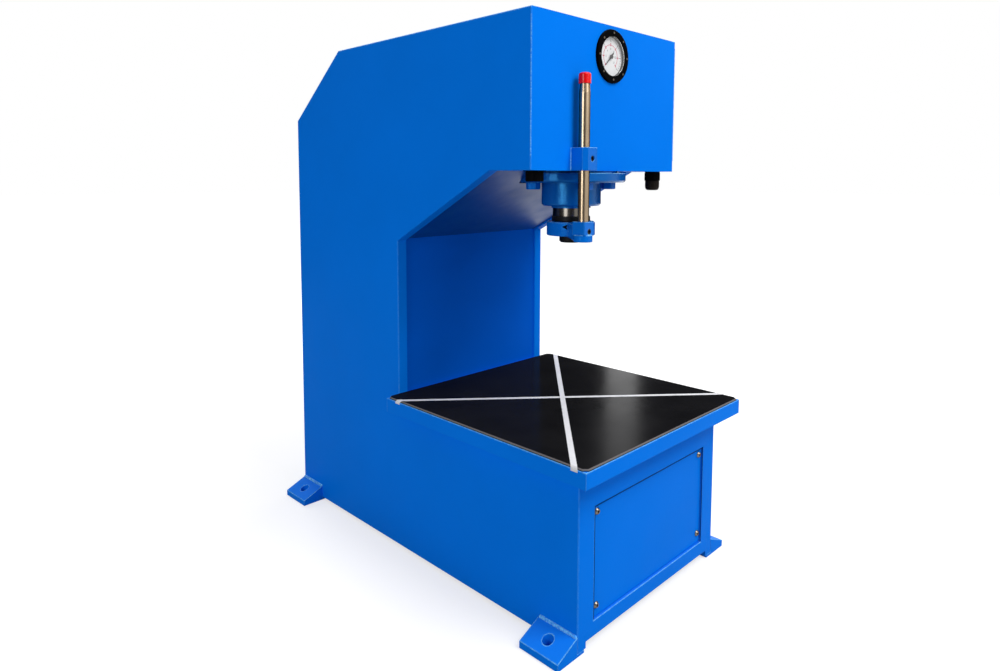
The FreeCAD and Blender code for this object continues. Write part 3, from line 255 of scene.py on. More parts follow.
def add_modifier(piece, kind, **values):
    """Add a modifier with these values and apply it."""
    activate(piece)
    modifier = piece.modifiers.new(kind.title(), kind)
    for name, value in values.items():
        setattr(modifier, name, value)
    bpy.ops.object.modifier_apply(modifier=modifier.name)


def round_edges(piece, width):
    add_modifier(piece, "BEVEL", width=width, segments=2, limit_method="ANGLE")


def join(pieces):
    deselect()
    for piece in pieces:
        piece.select_set(True)
    bpy.context.view_layer.objects.active = pieces[0]
    bpy.ops.object.join()
    return pieces[0]


def clean(piece):
    """Merge doubles and turn all faces outwards."""
    with editing(piece):
        bpy.ops.mesh.remove_doubles(threshold=MERGE_DISTANCE)
        bpy.ops.mesh.normals_make_consistent(inside=False)
    return piece


def copy_piece(piece):
    twin = piece.copy()
    twin.data = piece.data.copy()
    bpy.context.scene.collection.objects.link(twin)
    return twin


def finish_piece(piece, name, material, body="press_frame"):
    """Name a piece, give it its finish and let it ride on its body."""
    piece.name = name
    piece.data.name = name
    piece.data.materials.clear()
    piece.data.materials.append(finish(material))
    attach(piece, body)


def finish_nodes(finishes):
    """Give the machine's own nodes their finishes."""
    for material, nodes in finishes.items():
        for node in nodes:
            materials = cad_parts[node].data.materials
            materials.clear()
            materials.append(finish(material))


# Shader helpers
def feed(tree, value, socket):
    """Link a socket to another node's output, or give it a plain number, vector or colour."""
    if isinstance(value, bpy.types.NodeSocket):
        tree.links.new(value, socket)
    else:
        socket.default_value = (*value[:3], 1.0) if socket.type == "RGBA" else value


def add_node(tree, kind, inputs=None, **settings):
    """Add a node with these settings, and feed the inputs that are named or numbered."""
    node = tree.nodes.new(kind)
    for name, value in settings.items():
        setattr(node, name, value)
    for label, value in (inputs or {}).items():
        feed(tree, value, node.inputs[label])
    return node


def math_node(tree, operation, *values, clamp=False):
    inputs = dict(enumerate(values))
    node = add_node(tree, "ShaderNodeMath", inputs, operation=operation, use_clamp=clamp)
    return node.outputs["Value"]


def map_range(tree, value, low, high, to_low=0.0, to_high=1.0, **settings):
    """Lay the range from low to high over another one."""
    inputs = {"Value": value, "From Min": low, "From Max": high, "To Min": to_low, "To Max": to_high}
    return add_node(tree, "ShaderNodeMapRange", inputs, **settings).outputs["Result"]


def object_place(tree):
    return add_node(tree, "ShaderNodeTexCoord").outputs["Object"]


def part_of(tree, vector, axis):
    return add_node(tree, "ShaderNodeSeparateXYZ", {"Vector": vector}).outputs[axis]


def face_normal(tree, kind="Normal"):
    return add_node(tree, "ShaderNodeNewGeometry").outputs[kind]


def noise_node(tree, scale, detail=2.0, stretch=None):
    """Noise on the object's own coordinates."""
    place = object_place(tree)
    if stretch is not None:
        inputs = {"Vector": place, "Scale": stretch}
        place = add_node(tree, "ShaderNodeMapping", inputs).outputs["Vector"]
    inputs = {"Vector": place, "Detail": detail, "Scale": scale}
    return add_node(tree, "ShaderNodeTexNoise", inputs).outputs["Fac"]


def mix_colours(tree, factor, first, second):
    inputs = {0: factor, 6: first, 7: second}
    return add_node(tree, "ShaderNodeMix", inputs, data_type="RGBA").outputs[2]


def shade(colour, share):
    return tuple(channel * share for channel in colour)


# Shared shader effects
def new_group(name, inputs, outputs):
    """A shader group with number inputs and the named outputs; returns it and its two ends."""
    group = bpy.data.node_groups.new(name, "ShaderNodeTree")
    for label, value in inputs.items():
        socket = group.interface.new_socket(name=label, in_out="INPUT", socket_type="NodeSocketFloat")
        socket.default_value = value
    for label, kind in outputs.items():
        group.interface.new_socket(name=label, in_out="OUTPUT", socket_type=kind)
    start = group.nodes.new("NodeGroupInput")
    end = group.nodes.new("NodeGroupOutput")
    return group, start.outputs, end.inputs


def orange_peel_group():
    """The slight ripple of sprayed enamel: a fine grain over a slow wave."""
    group, given, result = new_group(
        "Orange Peel", {"Fine Scale": 420.0, "Wave Scale": 60.0, "Wave Share": 0.5},
        {"Height": "NodeSocketFloat"})
    fine = noise_node(group, given["Fine Scale"], 1.0)
    wave = noise_node(group, given["Wave Scale"], 1.0)
    part = math_node(group, "MULTIPLY", wave, given["Wave Share"])
    feed(group, math_node(group, "ADD", fine, part), result["Height"])
    return group


def edge_highlight_group():
    """A patchy mask that paints highlights on edges that don't look down, and the normal of a softly
    broken edge.
    """
    group, given, result = new_group(
        "Edge Highlight And Rounding", {"Strength": 6.0, "Softness": 0.0014, "Reach": 0.0014},
        {"Mask": "NodeSocketFloat", "Normal": "NodeSocketVector"})
    wide = add_node(group, "ShaderNodeBevel", {"Radius": given["Reach"]}, samples=4)
    soft = add_node(group, "ShaderNodeBevel", {"Radius": given["Softness"]}, samples=4)
    wide = wide.outputs["Normal"]
    likeness = add_node(group, "ShaderNodeVectorMath", {0: wide, 1: face_normal(group)},
                        operation="DOT_PRODUCT")
    turn = math_node(group, "SUBTRACT", 1.0, likeness.outputs["Value"])
    mask = math_node(group, "MULTIPLY", turn, given["Strength"], clamp=True)
    patch = map_range(group, noise_node(group, 160.0), 0.3, 0.6, to_low=0.35)
    # Only edges that face up take the painted highlight.
    upper = map_range(group, part_of(group, wide, "Z"), -0.15, 0.55)
    highlight_patches = math_node(group, "MULTIPLY", mask, patch)
    feed(group, math_node(group, "MULTIPLY", highlight_patches, upper), result["Mask"])
    feed(group, soft.outputs["Normal"], result["Normal"])
    return group


def seam_group():
    """One away from the ground seams, where plates meet a side plate's inner face; none on them."""
    group, given, result = new_group(
        "Ground Seam", {"Seam": 0.18, "Reach": 0.008}, {"Mask": "NodeSocketFloat"})
    across = math_node(group, "ABSOLUTE", part_of(group, object_place(group), "X"))
    away = math_node(group, "ABSOLUTE", math_node(group, "SUBTRACT", across, given["Seam"]))
    feed(group, math_node(group, "GREATER_THAN", away, given["Reach"]), result["Mask"])
    return group


def dust_group():
    """Dust that lies on faces that look up, in patches."""
    group, given, result = new_group(
        "Dust", {"Amount": 0.2, "Patch Scale": 14.0}, {"Mask": "NodeSocketFloat"})
    rise = math_node(group, "MAXIMUM", part_of(group, face_normal(group), "Z"), 0.0)
    upward = math_node(group, "POWER", rise, 4.0)
    spread = math_node(group, "MULTIPLY", upward, noise_node(group, given["Patch Scale"], 4.0))
    feed(group, math_node(group, "MULTIPLY", spread, given["Amount"], clamp=True), result["Mask"])
    return group


def smudge_group():
    """Slow uneven patches, for tone and for gloss."""
    group, given, result = new_group(
        "Smudge", {"Scale": 9.0, "Low": 0.0, "High": 1.0}, {"Value": "NodeSocketFloat"})
    noise = noise_node(group, given["Scale"], 5.0)
    feed(group, map_range(group, noise, 0.3, 0.7, given["Low"], given["High"]), result["Value"])
    return group


GROUP_MAKERS = {
    "Orange Peel": orange_peel_group,
    "Edge Highlight And Rounding": edge_highlight_group,
    "Ground Seam": seam_group,
    "Dust": dust_group,
    "Smudge": smudge_group,
}


def use_group(tree, name, output, **values):
    """Place a shared effect in a material with its own values; returns one of its outputs."""
    group = bpy.data.node_groups.get(name) or GROUP_MAKERS[name]()
    inputs = {label.replace("_", " "): value for label, value in values.items()}
    return add_node(tree, "ShaderNodeGroup", inputs, node_tree=group).outputs[output]


def smudges(tree, scale, high, low=0.0):
    return use_group(tree, "Smudge", "Value", Scale=scale, Low=low, High=high)


# Materials
PAINT_GLOSS_TINT = (0.08, 0.5, 1.0)
METAL_RIM_TINT = (0.3, 0.22, 0.14)
PEEL_DEPTH = 0.0006
DUST_ON_PAINT = (0.4, 0.5, 0.6)
DUST_ON_BLACK = (0.6, 0.6, 0.6)
# A painted sheen over the sheet's ground chamfer.
GROUND_EDGE_SHEEN = (0.14, 0.132, 0.135)


def new_material(name, colour, roughness, metallic=0.0, specular=0.5, tint=None):
    """A material with one Principled shader; returns it with its tree and the shader's inputs."""
    material = bpy.data.materials.new(name)
    material.use_nodes = True
    tree = material.node_tree
    inputs = tree.nodes["Principled BSDF"].inputs
    values = {"Base Color": colour, "Roughness": roughness, "Metallic": metallic,
              "Specular IOR Level": specular}
    if tint:
        values["Specular Tint"] = tint
    for label, value in values.items():
        feed(tree, value, inputs[label])
    return material, tree, inputs


def add_bump(tree, inputs, height, strength, distance, normal=None):
    values = {"Height": height, "Strength": strength, "Distance": distance}
    if normal is not None:
        values["Normal"] = normal
    feed(tree, add_node(tree, "ShaderNodeBump", values).outputs["Normal"], inputs["Normal"])


def add_peel(tree, inputs, fine, wave, share, strength, normal=None):
    """The orange peel of sprayed enamel, as a bump."""
    height = use_group(
        tree, "Orange Peel", "Height", Fine_Scale=fine, Wave_Scale=wave, Wave_Share=share)
    add_bump(tree, inputs, height, strength, PEEL_DEPTH, normal)


def coated_material(name, colour, roughness, patch=None, edge=None, soft_edge=True, gloss=None,
                    grain=None, **values):
    """One colour with patches, painted edge highlights, uneven gloss and a fine grain, where they are
    given.

    patch is the patches' scale, share and colour. edge is the strength and colour laid on
    the edges that face up, a painted highlight where it is lighter; the grain follows round
    the edge when soft_edge is set. gloss is a scale with the most and the least roughness.
    grain is the noise's scale and detail, and the bump's strength and depth.
    """
    material, tree, inputs = new_material(name, colour, roughness, **values)
    tone, normal = colour, None
    if patch:
        scale, share, second = patch
        tone = mix_colours(tree, smudges(tree, scale, share), tone, second)
    if edge:
        mask = use_group(tree, "Edge Highlight And Rounding", "Mask", Strength=edge[0])
        tone = mix_colours(tree, mask, tone, edge[1])
        normal = mask.node.outputs["Normal"] if soft_edge else None
    feed(tree, tone, inputs["Base Color"])
    if gloss:
        feed(tree, smudges(tree, *gloss), inputs["Roughness"])
    if grain:
        scale, detail, strength, depth = grain
        add_bump(tree, inputs, noise_node(tree, scale, detail), strength, depth, normal)
    return material


def paint_material(name, edges, share=(1.0, 1.0, 1.0), specular=0.012):
    """Sprayed blue enamel: orange peel, and lighter edges that face up, a painted highlight over enamel
    drawn thin.

    edges is "all", "outer" for plates whose inner edges are ground flush, or "none". share
    is what is left of each of the blue's channels, a painted shade for plates that sit in shade.
    """
    blue = tuple(channel * part for channel, part in zip(colours().frame_blue, share))
    material, tree, inputs = new_material(name, blue, 0.36, specular=specular, tint=PAINT_GLOSS_TINT)
    tone = mix_colours(tree, smudges(tree, scale=5.0, high=0.6), blue, shade(blue, 0.9))
    normal = None
    if edges != "none":
        mask = use_group(tree, "Edge Highlight And Rounding", "Mask", Strength=8.0, Reach=0.0026)
        normal = mask.node.outputs["Normal"]
        if edges == "outer":
            seam = use_group(tree, "Ground Seam", "Mask")
            mask = math_node(tree, "MULTIPLY", mask, seam)
            blend = {0: seam, 4: face_normal(tree), 5: normal}
            normal = add_node(tree, "ShaderNodeMix", blend, data_type="VECTOR").outputs[1]
        # Painted highlight on the edges that face up.
        tone = mix_colours(tree, mask, tone, colours().edge_highlight_blue)
    dust = use_group(tree, "Dust", "Mask", Amount=0.04, Patch_Scale=11.0)
    feed(tree, mix_colours(tree, dust, tone, DUST_ON_PAINT), inputs["Base Color"])
    feed(tree, smudges(tree, scale=24.0, low=0.3, high=0.42), inputs["Roughness"])
    add_peel(tree, inputs, fine=380.0, wave=70.0, share=0.6, strength=0.25, normal=normal)
    return material


def head_paint_material(name, share, specular):
    """The same enamel on the turned head pieces, a little glossier and darker."""
    blue = shade(colours().frame_blue, share)
    material, tree, inputs = new_material(name, blue, 0.2, specular=specular, tint=PAINT_GLOSS_TINT)
    mask = use_group(tree, "Edge Highlight And Rounding", "Mask", Strength=6.0, Softness=0.003, Reach=0.0018)
    # Painted highlight on the edges that face up.
    feed(tree, mix_colours(tree, mask, blue, colours().edge_highlight_blue), inputs["Base Color"])
    feed(tree, smudges(tree, scale=30.0, low=0.14, high=0.24), inputs["Roughness"])
    soft = mask.node.outputs["Normal"]
    add_peel(tree, inputs, fine=420.0, wave=120.0, share=0.5, strength=0.6, normal=soft)
    return material


def bead_material():
    """Enamel over the ripples of a weld, with light patches painted as the ripples' highlights."""
    blue = tuple(colours().frame_blue)
    material, tree, inputs = new_material("Bead Enamel", blue, 0.2, specular=1.0, tint=PAINT_GLOSS_TINT)
    patch = smudges(tree, scale=260.0, high=0.8)
    # Painted highlight: light patches over the bead's ripples.
    feed(tree, mix_colours(tree, patch, blue, colours().edge_highlight_blue), inputs["Base Color"])
    add_peel(tree, inputs, fine=700.0, wave=160.0, share=0.5, strength=0.35)
    return material


def sheet_material():
    """Gloss black sheet with faint wiping marks, and a lighter chamfer: a painted sheen over a ground
    edge.
    """
    black = tuple(colours().sheet_black)
    material, tree, inputs = new_material("Table Sheet", black, 0.2, specular=0.006)
    soft = use_group(tree, "Edge Highlight And Rounding", "Normal", Strength=6.0, Softness=0.0002)
    rise = part_of(tree, face_normal(tree, "True Normal"), "Z")
    # The chamfer takes a lighter grey, a painted sheen over its ground edge.
    chamfer = math_node(tree, "COMPARE", rise, 0.7, 0.2)
    ground = mix_colours(tree, chamfer, black, GROUND_EDGE_SHEEN)
    dust = use_group(tree, "Dust", "Mask", Amount=0.012, Patch_Scale=18.0)
    feed(tree, mix_colours(tree, dust, ground, DUST_ON_BLACK), inputs["Base Color"])
    feed(tree, smudges(tree, scale=12.0, low=0.12, high=0.18), inputs["Roughness"])
    add_bump(tree, inputs, noise_node(tree, 900.0, 1.0), 0.05, 0.0002, soft)
    return material


def turned_metal(name, colour, roughness, lines, depth):
    """Metal with fine turning lines around its axis, which is close to vertical."""
    material, tree, inputs = new_material(name, colour, roughness, metallic=1.0, tint=METAL_RIM_TINT)
    around = noise_node(tree, 1.0, 3.0, stretch=(12.0, 12.0, lines))
    spread = map_range(tree, around, 0.0, 1.0, roughness * 0.88, roughness * 1.16)
    feed(tree, spread, inputs["Roughness"])
    patch = smudges(tree, scale=40.0, high=0.35)
    feed(tree, mix_colours(tree, patch, colour, shade(colour, 0.7)), inputs["Base Color"])
    add_bump(tree, inputs, around, depth, 0.0002)
    return material


def moulded_material(name, colour, roughness, specular=0.5):
    """Moulded plastic or rubber with a fine grain, and a painted highlight on its edges that face up."""
    lighter = tuple(min(1.0, channel * 1.5 + 0.004) for channel in colour)
    return coated_material(name, colour, roughness, patch=(80.0, 0.5, shade(colour, 0.75)),
                           edge=(2.0, lighter), grain=(1400.0, 2.0, 0.12, 0.0002), specular=specular)


def strip_material():
    """White strip with a faint fibre."""
    white = tuple(colours().strip_white)
    return coated_material("Marking Strip", white, 0.45, patch=(60.0, 0.7, shade(white, 0.86)),
                           edge=(5.0, (0.5, 0.5, 0.52)), soft_edge=False,
                           grain=(700.0, 2.0, 0.15, 0.0003), specular=0.3)


def cast_material():
    """Grey enamel over rough castings."""
    return coated_material("Grey Casting", (0.12, 0.13, 0.14), 0.55,
                           patch=(16.0, 0.8, (0.09, 0.1, 0.11)),
                           grain=(260.0, 4.0, 0.5, 0.0008), specular=0.4)


def blackened_material():
    """Black oxide on steel, rubbed brighter at its edges that face up, partly a painted highlight."""
    return coated_material("Black Oxide", (0.008, 0.0085, 0.0095), 0.34,
                           edge=(3.0, (0.14, 0.14, 0.15)), soft_edge=False, gloss=(60.0, 0.48, 0.3),
                           grain=(700.0, 2.0, 0.2, 0.0002), metallic=0.3, specular=0.06)


def dial_material():
    """White dial enamel with the faintest mottle."""
    return coated_material("Dial White", (0.76, 0.77, 0.78), 0.4,
                           patch=(120.0, 0.4, (0.7, 0.71, 0.72)), specular=0.3)


def print_material(name, colour):
    """Printing ink, thin in places."""
    thin = tuple(min(1.0, channel * 1.2 + 0.03) for channel in colour)
    return coated_material(name, colour, 0.6, patch=(500.0, 0.5, thin), specular=0.2)


def surface_of(material):
    return material.node_tree.nodes["Material Output"].inputs["Surface"]


def lens_material():
    """Clear glass that lets the light through to the dial."""
    material, tree, inputs = new_material("Gauge Glass", (1.0, 1.0, 1.0), 0.02, specular=0.15)
    inputs["Transmission Weight"].default_value = 1.0
    inputs["IOR"].default_value = 1.45
    ray = add_node(tree, "ShaderNodeLightPath").outputs
    plain = math_node(tree, "ADD", ray["Is Shadow Ray"], ray["Is Diffuse Ray"], clamp=True)
    glass = tree.nodes["Principled BSDF"].outputs["BSDF"]
    clear = add_node(tree, "ShaderNodeBsdfTransparent").outputs["BSDF"]
    mix = add_node(tree, "ShaderNodeMixShader", {0: plain, 1: glass, 2: clear})
    feed(tree, mix.outputs["Shader"], surface_of(material))
    return material


MATERIAL_MAKERS = {
    "enamel": lambda: paint_material("Frame Enamel", "all"),
    "welded_enamel": lambda: paint_material("Welded Enamel", "outer"),
    "flush_enamel": lambda: paint_material("Flush Enamel", "none"),
    # Painted shade: the throat and slope enamels keep less of the blue where these plates sit in shade.
    "throat_shade_enamel": lambda: paint_material("Throat Shaded Enamel", "none", (0.74, 0.6, 0.8)),
    "slope_shade_enamel": lambda: paint_material("Slope Shaded Enamel", "none", (0.34, 0.29, 0.35), 0.22),
    "head_enamel": lambda: head_paint_material("Head Enamel", 0.76, 0.3),
    # Painted shade: the cylinder's flange and boss are darkened for the shade under the arm.
    "cylinder_shade_enamel": lambda: head_paint_material("Cylinder Shaded Enamel", 0.44, 1.0),
    "bead_enamel": bead_material,
    "sheet": sheet_material,
    "strip": strip_material,
    "chrome": lambda: turned_metal("Hard Chrome", (0.15, 0.138, 0.122), 0.2, 900.0, 0.02),
    "rod": lambda: turned_metal("Ground Rod", tuple(colours().rod_steel), 0.26, 90.0, 0.004),
    "screw": lambda: turned_metal("Screw Steel", (0.22, 0.19, 0.16), 0.3, 1200.0, 0.08),
    "pipe": lambda: turned_metal("Pipe Steel", (0.55, 0.55, 0.57), 0.32, 300.0, 0.1),
    "bronze": lambda: turned_metal("Bearing Bronze", (0.62, 0.42, 0.2), 0.28, 800.0, 0.08),
    "blackened": blackened_material,
    "cap": lambda: moulded_material("Red Plastic", tuple(colours().cap_red), 0.2, 0.2),
    "gland": lambda: moulded_material("Black Plastic", (0.003, 0.003, 0.0035), 0.3, 0.012),
    "gland_tip": lambda: moulded_material("Brown Plastic", (0.012, 0.009, 0.007), 0.3, 0.06),
    "case": lambda: moulded_material("Gauge Black", (0.002, 0.002, 0.0023), 0.2, 0.008),
    # Painted shade: near-black for the shadow in the access panel's gap and in the clamp collar's
    # recess.
    "seal": lambda: moulded_material("Gap Shade Black", (0.001, 0.004, 0.012), 0.6, 0.01),
    "rubber": lambda: moulded_material("Seal Rubber", (0.015, 0.015, 0.015), 0.7, 0.3),
    "cast": cast_material,
    "lens": lens_material,
    "dial": dial_material,
    "ink_black": lambda: print_material("Black Ink", (0.03, 0.03, 0.035)),
    "ink_grey": lambda: print_material("Grey Ink", (0.16, 0.17, 0.19)),
    "ink_red": lambda: print_material("Red Ink", tuple(colours().scale_red)),
}
MADE_MATERIALS = {}


def finish(name):
    """The material of this name, made when it is first asked for."""
    if name not in MADE_MATERIALS:
        MADE_MATERIALS[name] = MATERIAL_MAKERS[name]()
    return MADE_MATERIALS[name]


# Operators: finishes on the machine's own pieces
class PRESS_OT_paint_frame(bpy.types.Operator):
    """Enamel the welded frame, its covers and the head"""

    bl_idname = "press.paint_frame"
    bl_label = "Paint Frame"

    def execute(self, context):
        finish_nodes(FRAME_FINISHES)
        return {"FINISHED"}


class PRESS_OT_finish_metals(bpy.types.Operator):
    """Give bare metal, castings and seals their finishes"""

    bl_idname = "press.finish_metals"
    bl_label = "Finish Metals"

    def execute(self, context):
        finish_nodes(METAL_FINISHES)
        return {"FINISHED"}


class PRESS_OT_finish_trim(bpy.types.Operator):
    """Give the table's sheet, the rod's cap, the glands and the gauge their finishes"""

    bl_idname = "press.finish_trim"
    bl_label = "Finish Trim"

    def execute(self, context):
        finish_nodes(TRIM_FINISHES)
        return {"FINISHED"}


# Operator: weld beads
DROP_FLATNESS = 0.75
RIPPLE_WOBBLE = 0.12
VOXELS_PER_RADIUS = 5
EDGE_BEAD_INSET = 0.4


def weld_bead(name, start, end, radius, pitch):
    """A rippled bead between two points: overlapped flat drops, melted into one skin."""
    way = Vector(end) - Vector(start)
    count = max(2, round(way.length / pitch))
    deselect()
    bpy.ops.mesh.primitive_uv_sphere_add(segments=12, ring_count=8, radius=radius)
    bead = stand(bpy.context.object, size=(1.0, DROP_FLATNESS, 1.0))
    add_modifier(bead, "ARRAY", count=count, use_relative_offset=False, use_constant_offset=True,
                 constant_offset_displace=(0.0, way.length / (count - 1), 0.0))
    with editing(bead):
        bpy.ops.transform.vertex_random(offset=radius * RIPPLE_WOBBLE, seed=count)
    add_modifier(bead, "REMESH", mode="VOXEL", voxel_size=radius / VOXELS_PER_RADIUS,
                 use_smooth_shade=True)
    stand(bead, start, way.to_track_quat("Y", "Z").to_euler())
    finish_piece(bead, name, "bead_enamel")


def upright_bead(name, x, y, low, high, radius, pitch):
    weld_bead(name, (x, y, low.z + radius), (x, y, high.z - radius), radius, pitch)


class PRESS_OT_weld_beads(bpy.types.Operator):
    """Lay the weld beads on the feet, the guide bracket and the arm's front edges"""

    bl_idname = "press.weld_beads"
    bl_label = "Weld Beads"

    def execute(self, context):
        radius = sizes().bead_radius
        left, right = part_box("side_plate_left")[0].x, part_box("side_plate_right")[1].x
        for node in FEET:
            low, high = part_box(node)
            side = left if middle(node).x < 0 else right
            start = (side, low.y + radius, high.z)
            end = (side, high.y - radius, high.z)
            weld_bead(f"bead_{node}", start, end, radius, sizes().bead_pitch)
        small = sizes().small_bead_radius
        low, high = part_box("guide_bracket")
        for side, x in (("left", low.x), ("right", high.x)):
            upright_bead(f"bead_bracket_{side}", x, high.y - small / 2, low, high, small, small)
        # The fine seams up the arm's front edges carry the bead enamel's painted highlight.
        fine = sizes().edge_bead_radius
        inset = fine * EDGE_BEAD_INSET
        low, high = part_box("arm_front_plate")
        for side, x in (("left", left + inset), ("right", right - inset)):
            upright_bead(f"bead_arm_{side}", x, low.y + inset, low, high, fine, fine * 2)
        return {"FINISHED"}


# Operator: table strips
STRIP_LAP = 0.006
STRIP_END_REACH = 0.0002
# Steps outwards and down: the sheet's chamfer, its edge, and out over the table's rim.
STRIP_FOLDS = ((0.0017, 0.0017), (0.0002, 0.0011), (0.0009, 0.0004))
STRIP_HANG_OUT = 0.0001


def strip_ends_on(node):
    """Where the strips run out at the sheet's two sides: a point for each of their four ends."""
    low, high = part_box(node)
    centre = middle(node)
    ends = []
    for side in (low.x, high.x):
        for front in (True, False):
            reach = [corner.y for corner in corners_of(node)
                     if abs(corner.x - side) < STRIP_END_REACH and (corner.y < centre.y) == front]
            ends.append(Vector((side, (min(reach) + max(reach)) / 2, high.z)))
    return ends


def strip_end(name, place, outward):
    """A strip's end, folded down over the sheet's edge and the table's rim."""
    thickness = sizes().strip_thickness
    slant = outward.y / abs(outward.x)
    across = 1 if outward.x > 0 else -1
    tab = stand(new_plane(), size=(STRIP_LAP, sizes().strip_width / abs(outward.x), 1.0))
    with editing(tab, "EDGE"):
        select_edge(tab, -across)
        bpy.ops.transform.translate(value=(0.0, -STRIP_LAP * slant, 0.0))
        for run, fall in (*STRIP_FOLDS, (STRIP_HANG_OUT, sizes().strip_drop)):
            select_edge(tab, across)
            step = (run * across, run * slant, -fall)
            bpy.ops.mesh.extrude_region_move(TRANSFORM_OT_translate={"value": step})
    add_modifier(tab, "SOLIDIFY", thickness=thickness, offset=1.0)
    round_edges(tab, thickness * 0.3)
    stand(tab, (place.x - across * STRIP_LAP / 2, place.y, place.z))
    finish_piece(clean(tab), name, "strip")


class PRESS_OT_strip_ends(bpy.types.Operator):
    """Fold the ends of the table's marking strips over the table's rim"""

    bl_idname = "press.strip_ends"
    bl_label = "Strip Ends"

    def execute(self, context):
        centre = middle("centre_strips")
        for index, place in enumerate(strip_ends_on("centre_strips"), start=1):
            outward = Vector((place.x - centre.x, place.y - centre.y, 0.0)).normalized()
            strip_end(f"strip_end_{index}", place, outward)
        return {"FINISHED"}


# Operators: closing pieces, and the painted shadow in the access panel's gap
FILLER_GAP = 0.0004
FILLER_DEPTH = 0.017
FILLER_HEIGHT = 0.024
FILLER_BELOW_ARM = 0.0002
FILLER_BEHIND_SLOPE = 0.0001
FILLER_SWEEP = radians(36.0)
FILLER_STEPS = 14
GAP_SHADE_SETBACK = 0.0004


def keep_above(piece, point, normal):
    """Cut a piece along a plane, close the cut and keep what lies on the normal's side."""
    with editing(piece):
        bpy.ops.mesh.bisect(plane_co=point, plane_no=normal, use_fill=True, clear_inner=True)


def notch_filler(name, first_angle):
    """A segment of a ring that closes the slope plate's notch beside the cylinder's flange."""
    axis = middle("ram_rod")
    low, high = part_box("cylinder_body")
    inner = (high.x - low.x) / 2 + FILLER_GAP
    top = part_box("throat_slope_plate")[1].z - FILLER_BELOW_ARM
    place = (inner + FILLER_DEPTH / 2, 0.0, top - FILLER_HEIGHT / 2)
    segment = stand(new_plane(), place, (pi / 2, 0.0, 0.0), (FILLER_DEPTH, FILLER_HEIGHT, 1.0))
    stand(segment, (axis.x, axis.y, 0.0), (0.0, 0.0, first_angle))
    with editing(segment):
        bpy.ops.mesh.spin(steps=FILLER_STEPS, angle=FILLER_SWEEP, center=(axis.x, axis.y, 0.0),
                          axis=(0.0, 0.0, 1.0))
    clean(segment)
    corners = corners_of("throat_slope_plate")
    front = min(corners, key=lambda corner: (round(corner.y, 4), -corner.z))
    foot = min(corners, key=lambda corner: (round(corner.z, 4), corner.y))
    normal = Vector((0.0, front.z - foot.z, foot.y - front.y)).normalized()
    keep_above(segment, front + normal * FILLER_BEHIND_SLOPE, normal)
    finish_piece(clean(segment), name, "slope_shade_enamel")


class PRESS_OT_notch_fillers(bpy.types.Operator):
    """Close the slope plate's notch on both sides of the cylinder's flange"""

    bl_idname = "press.notch_fillers"
    bl_label = "Notch Fillers"

    def execute(self, context):
        notch_filler("notch_filler_left", radians(178.0))
        notch_filler("notch_filler_right", radians(38.0))
        return {"FINISHED"}


class PRESS_OT_panel_gap_shade(bpy.types.Operator):
    """Paint the shadow in the access panel's gap as a thin dark strip along its top and sides"""

    bl_idname = "press.panel_seal"
    bl_label = "Panel Gap Shade"

    def execute(self, context):
        low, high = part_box("access_panel")
        centre = middle("access_panel")
        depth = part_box("base_front_plate")[0].y + GAP_SHADE_SETBACK
        width = sizes().gap_shade_width
        seal = stand(new_plane(), (centre.x, depth, centre.z), (pi / 2, 0.0, 0.0),
                     (high.x - low.x, high.z - low.z, 1.0))

        def not_gap_shade(face):
            place = face.calc_center_median()
            inside = abs(place.x) < high.x - width and place.z < high.z - width
            return inside or place.z < low.z + width

        with editing(seal, "FACE"):
            bpy.ops.mesh.inset(thickness=width)
            select_faces(seal, not_gap_shade)
            bpy.ops.mesh.delete(type="FACE")
        add_modifier(seal, "SOLIDIFY", thickness=width * 0.6, offset=-1.0)
        round_edges(seal, width * 0.2)
        finish_piece(clean(seal), "panel_seal", "seal")
        return {"FINISHED"}


# Operators: bits on the moving pieces
# The recess is painted shade: a flattened dark cone on the collar stands in for the shadow in its
# tapered recess.
RECESS_RADIUS = 0.0046
RECESS_LENGTH = 0.0092
RECESS_FLATNESS = 0.1
RECESS_ANGLE = radians(-156.0)
SCREW_END_RADIUS = 0.0026
SCREW_END_LENGTH = 0.009
SCREW_SOCKET = 0.0012
SCREW_END_ANGLE = radians(-147.0)
BIT_RISE = 0.0005
HUB_RADIUS = 0.0037
HUB_HEIGHT = 0.0012
HUB_STEP = 0.0014
HUB_CROWN = 0.0005
HUB_STANDOFF = 0.0004


def on_collar(bit, angle):
    """Stand a bit in the clamp collar's face at this angle."""
    axis = middle("ram_rod")
    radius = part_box("clamp_collar")[1].x - axis.x
    place = (axis.x + radius * cos(angle), axis.y + radius * sin(angle),
             middle("clamp_collar").z + BIT_RISE)
    return clean(stand(bit, place, (0.0, 0.0, angle)))


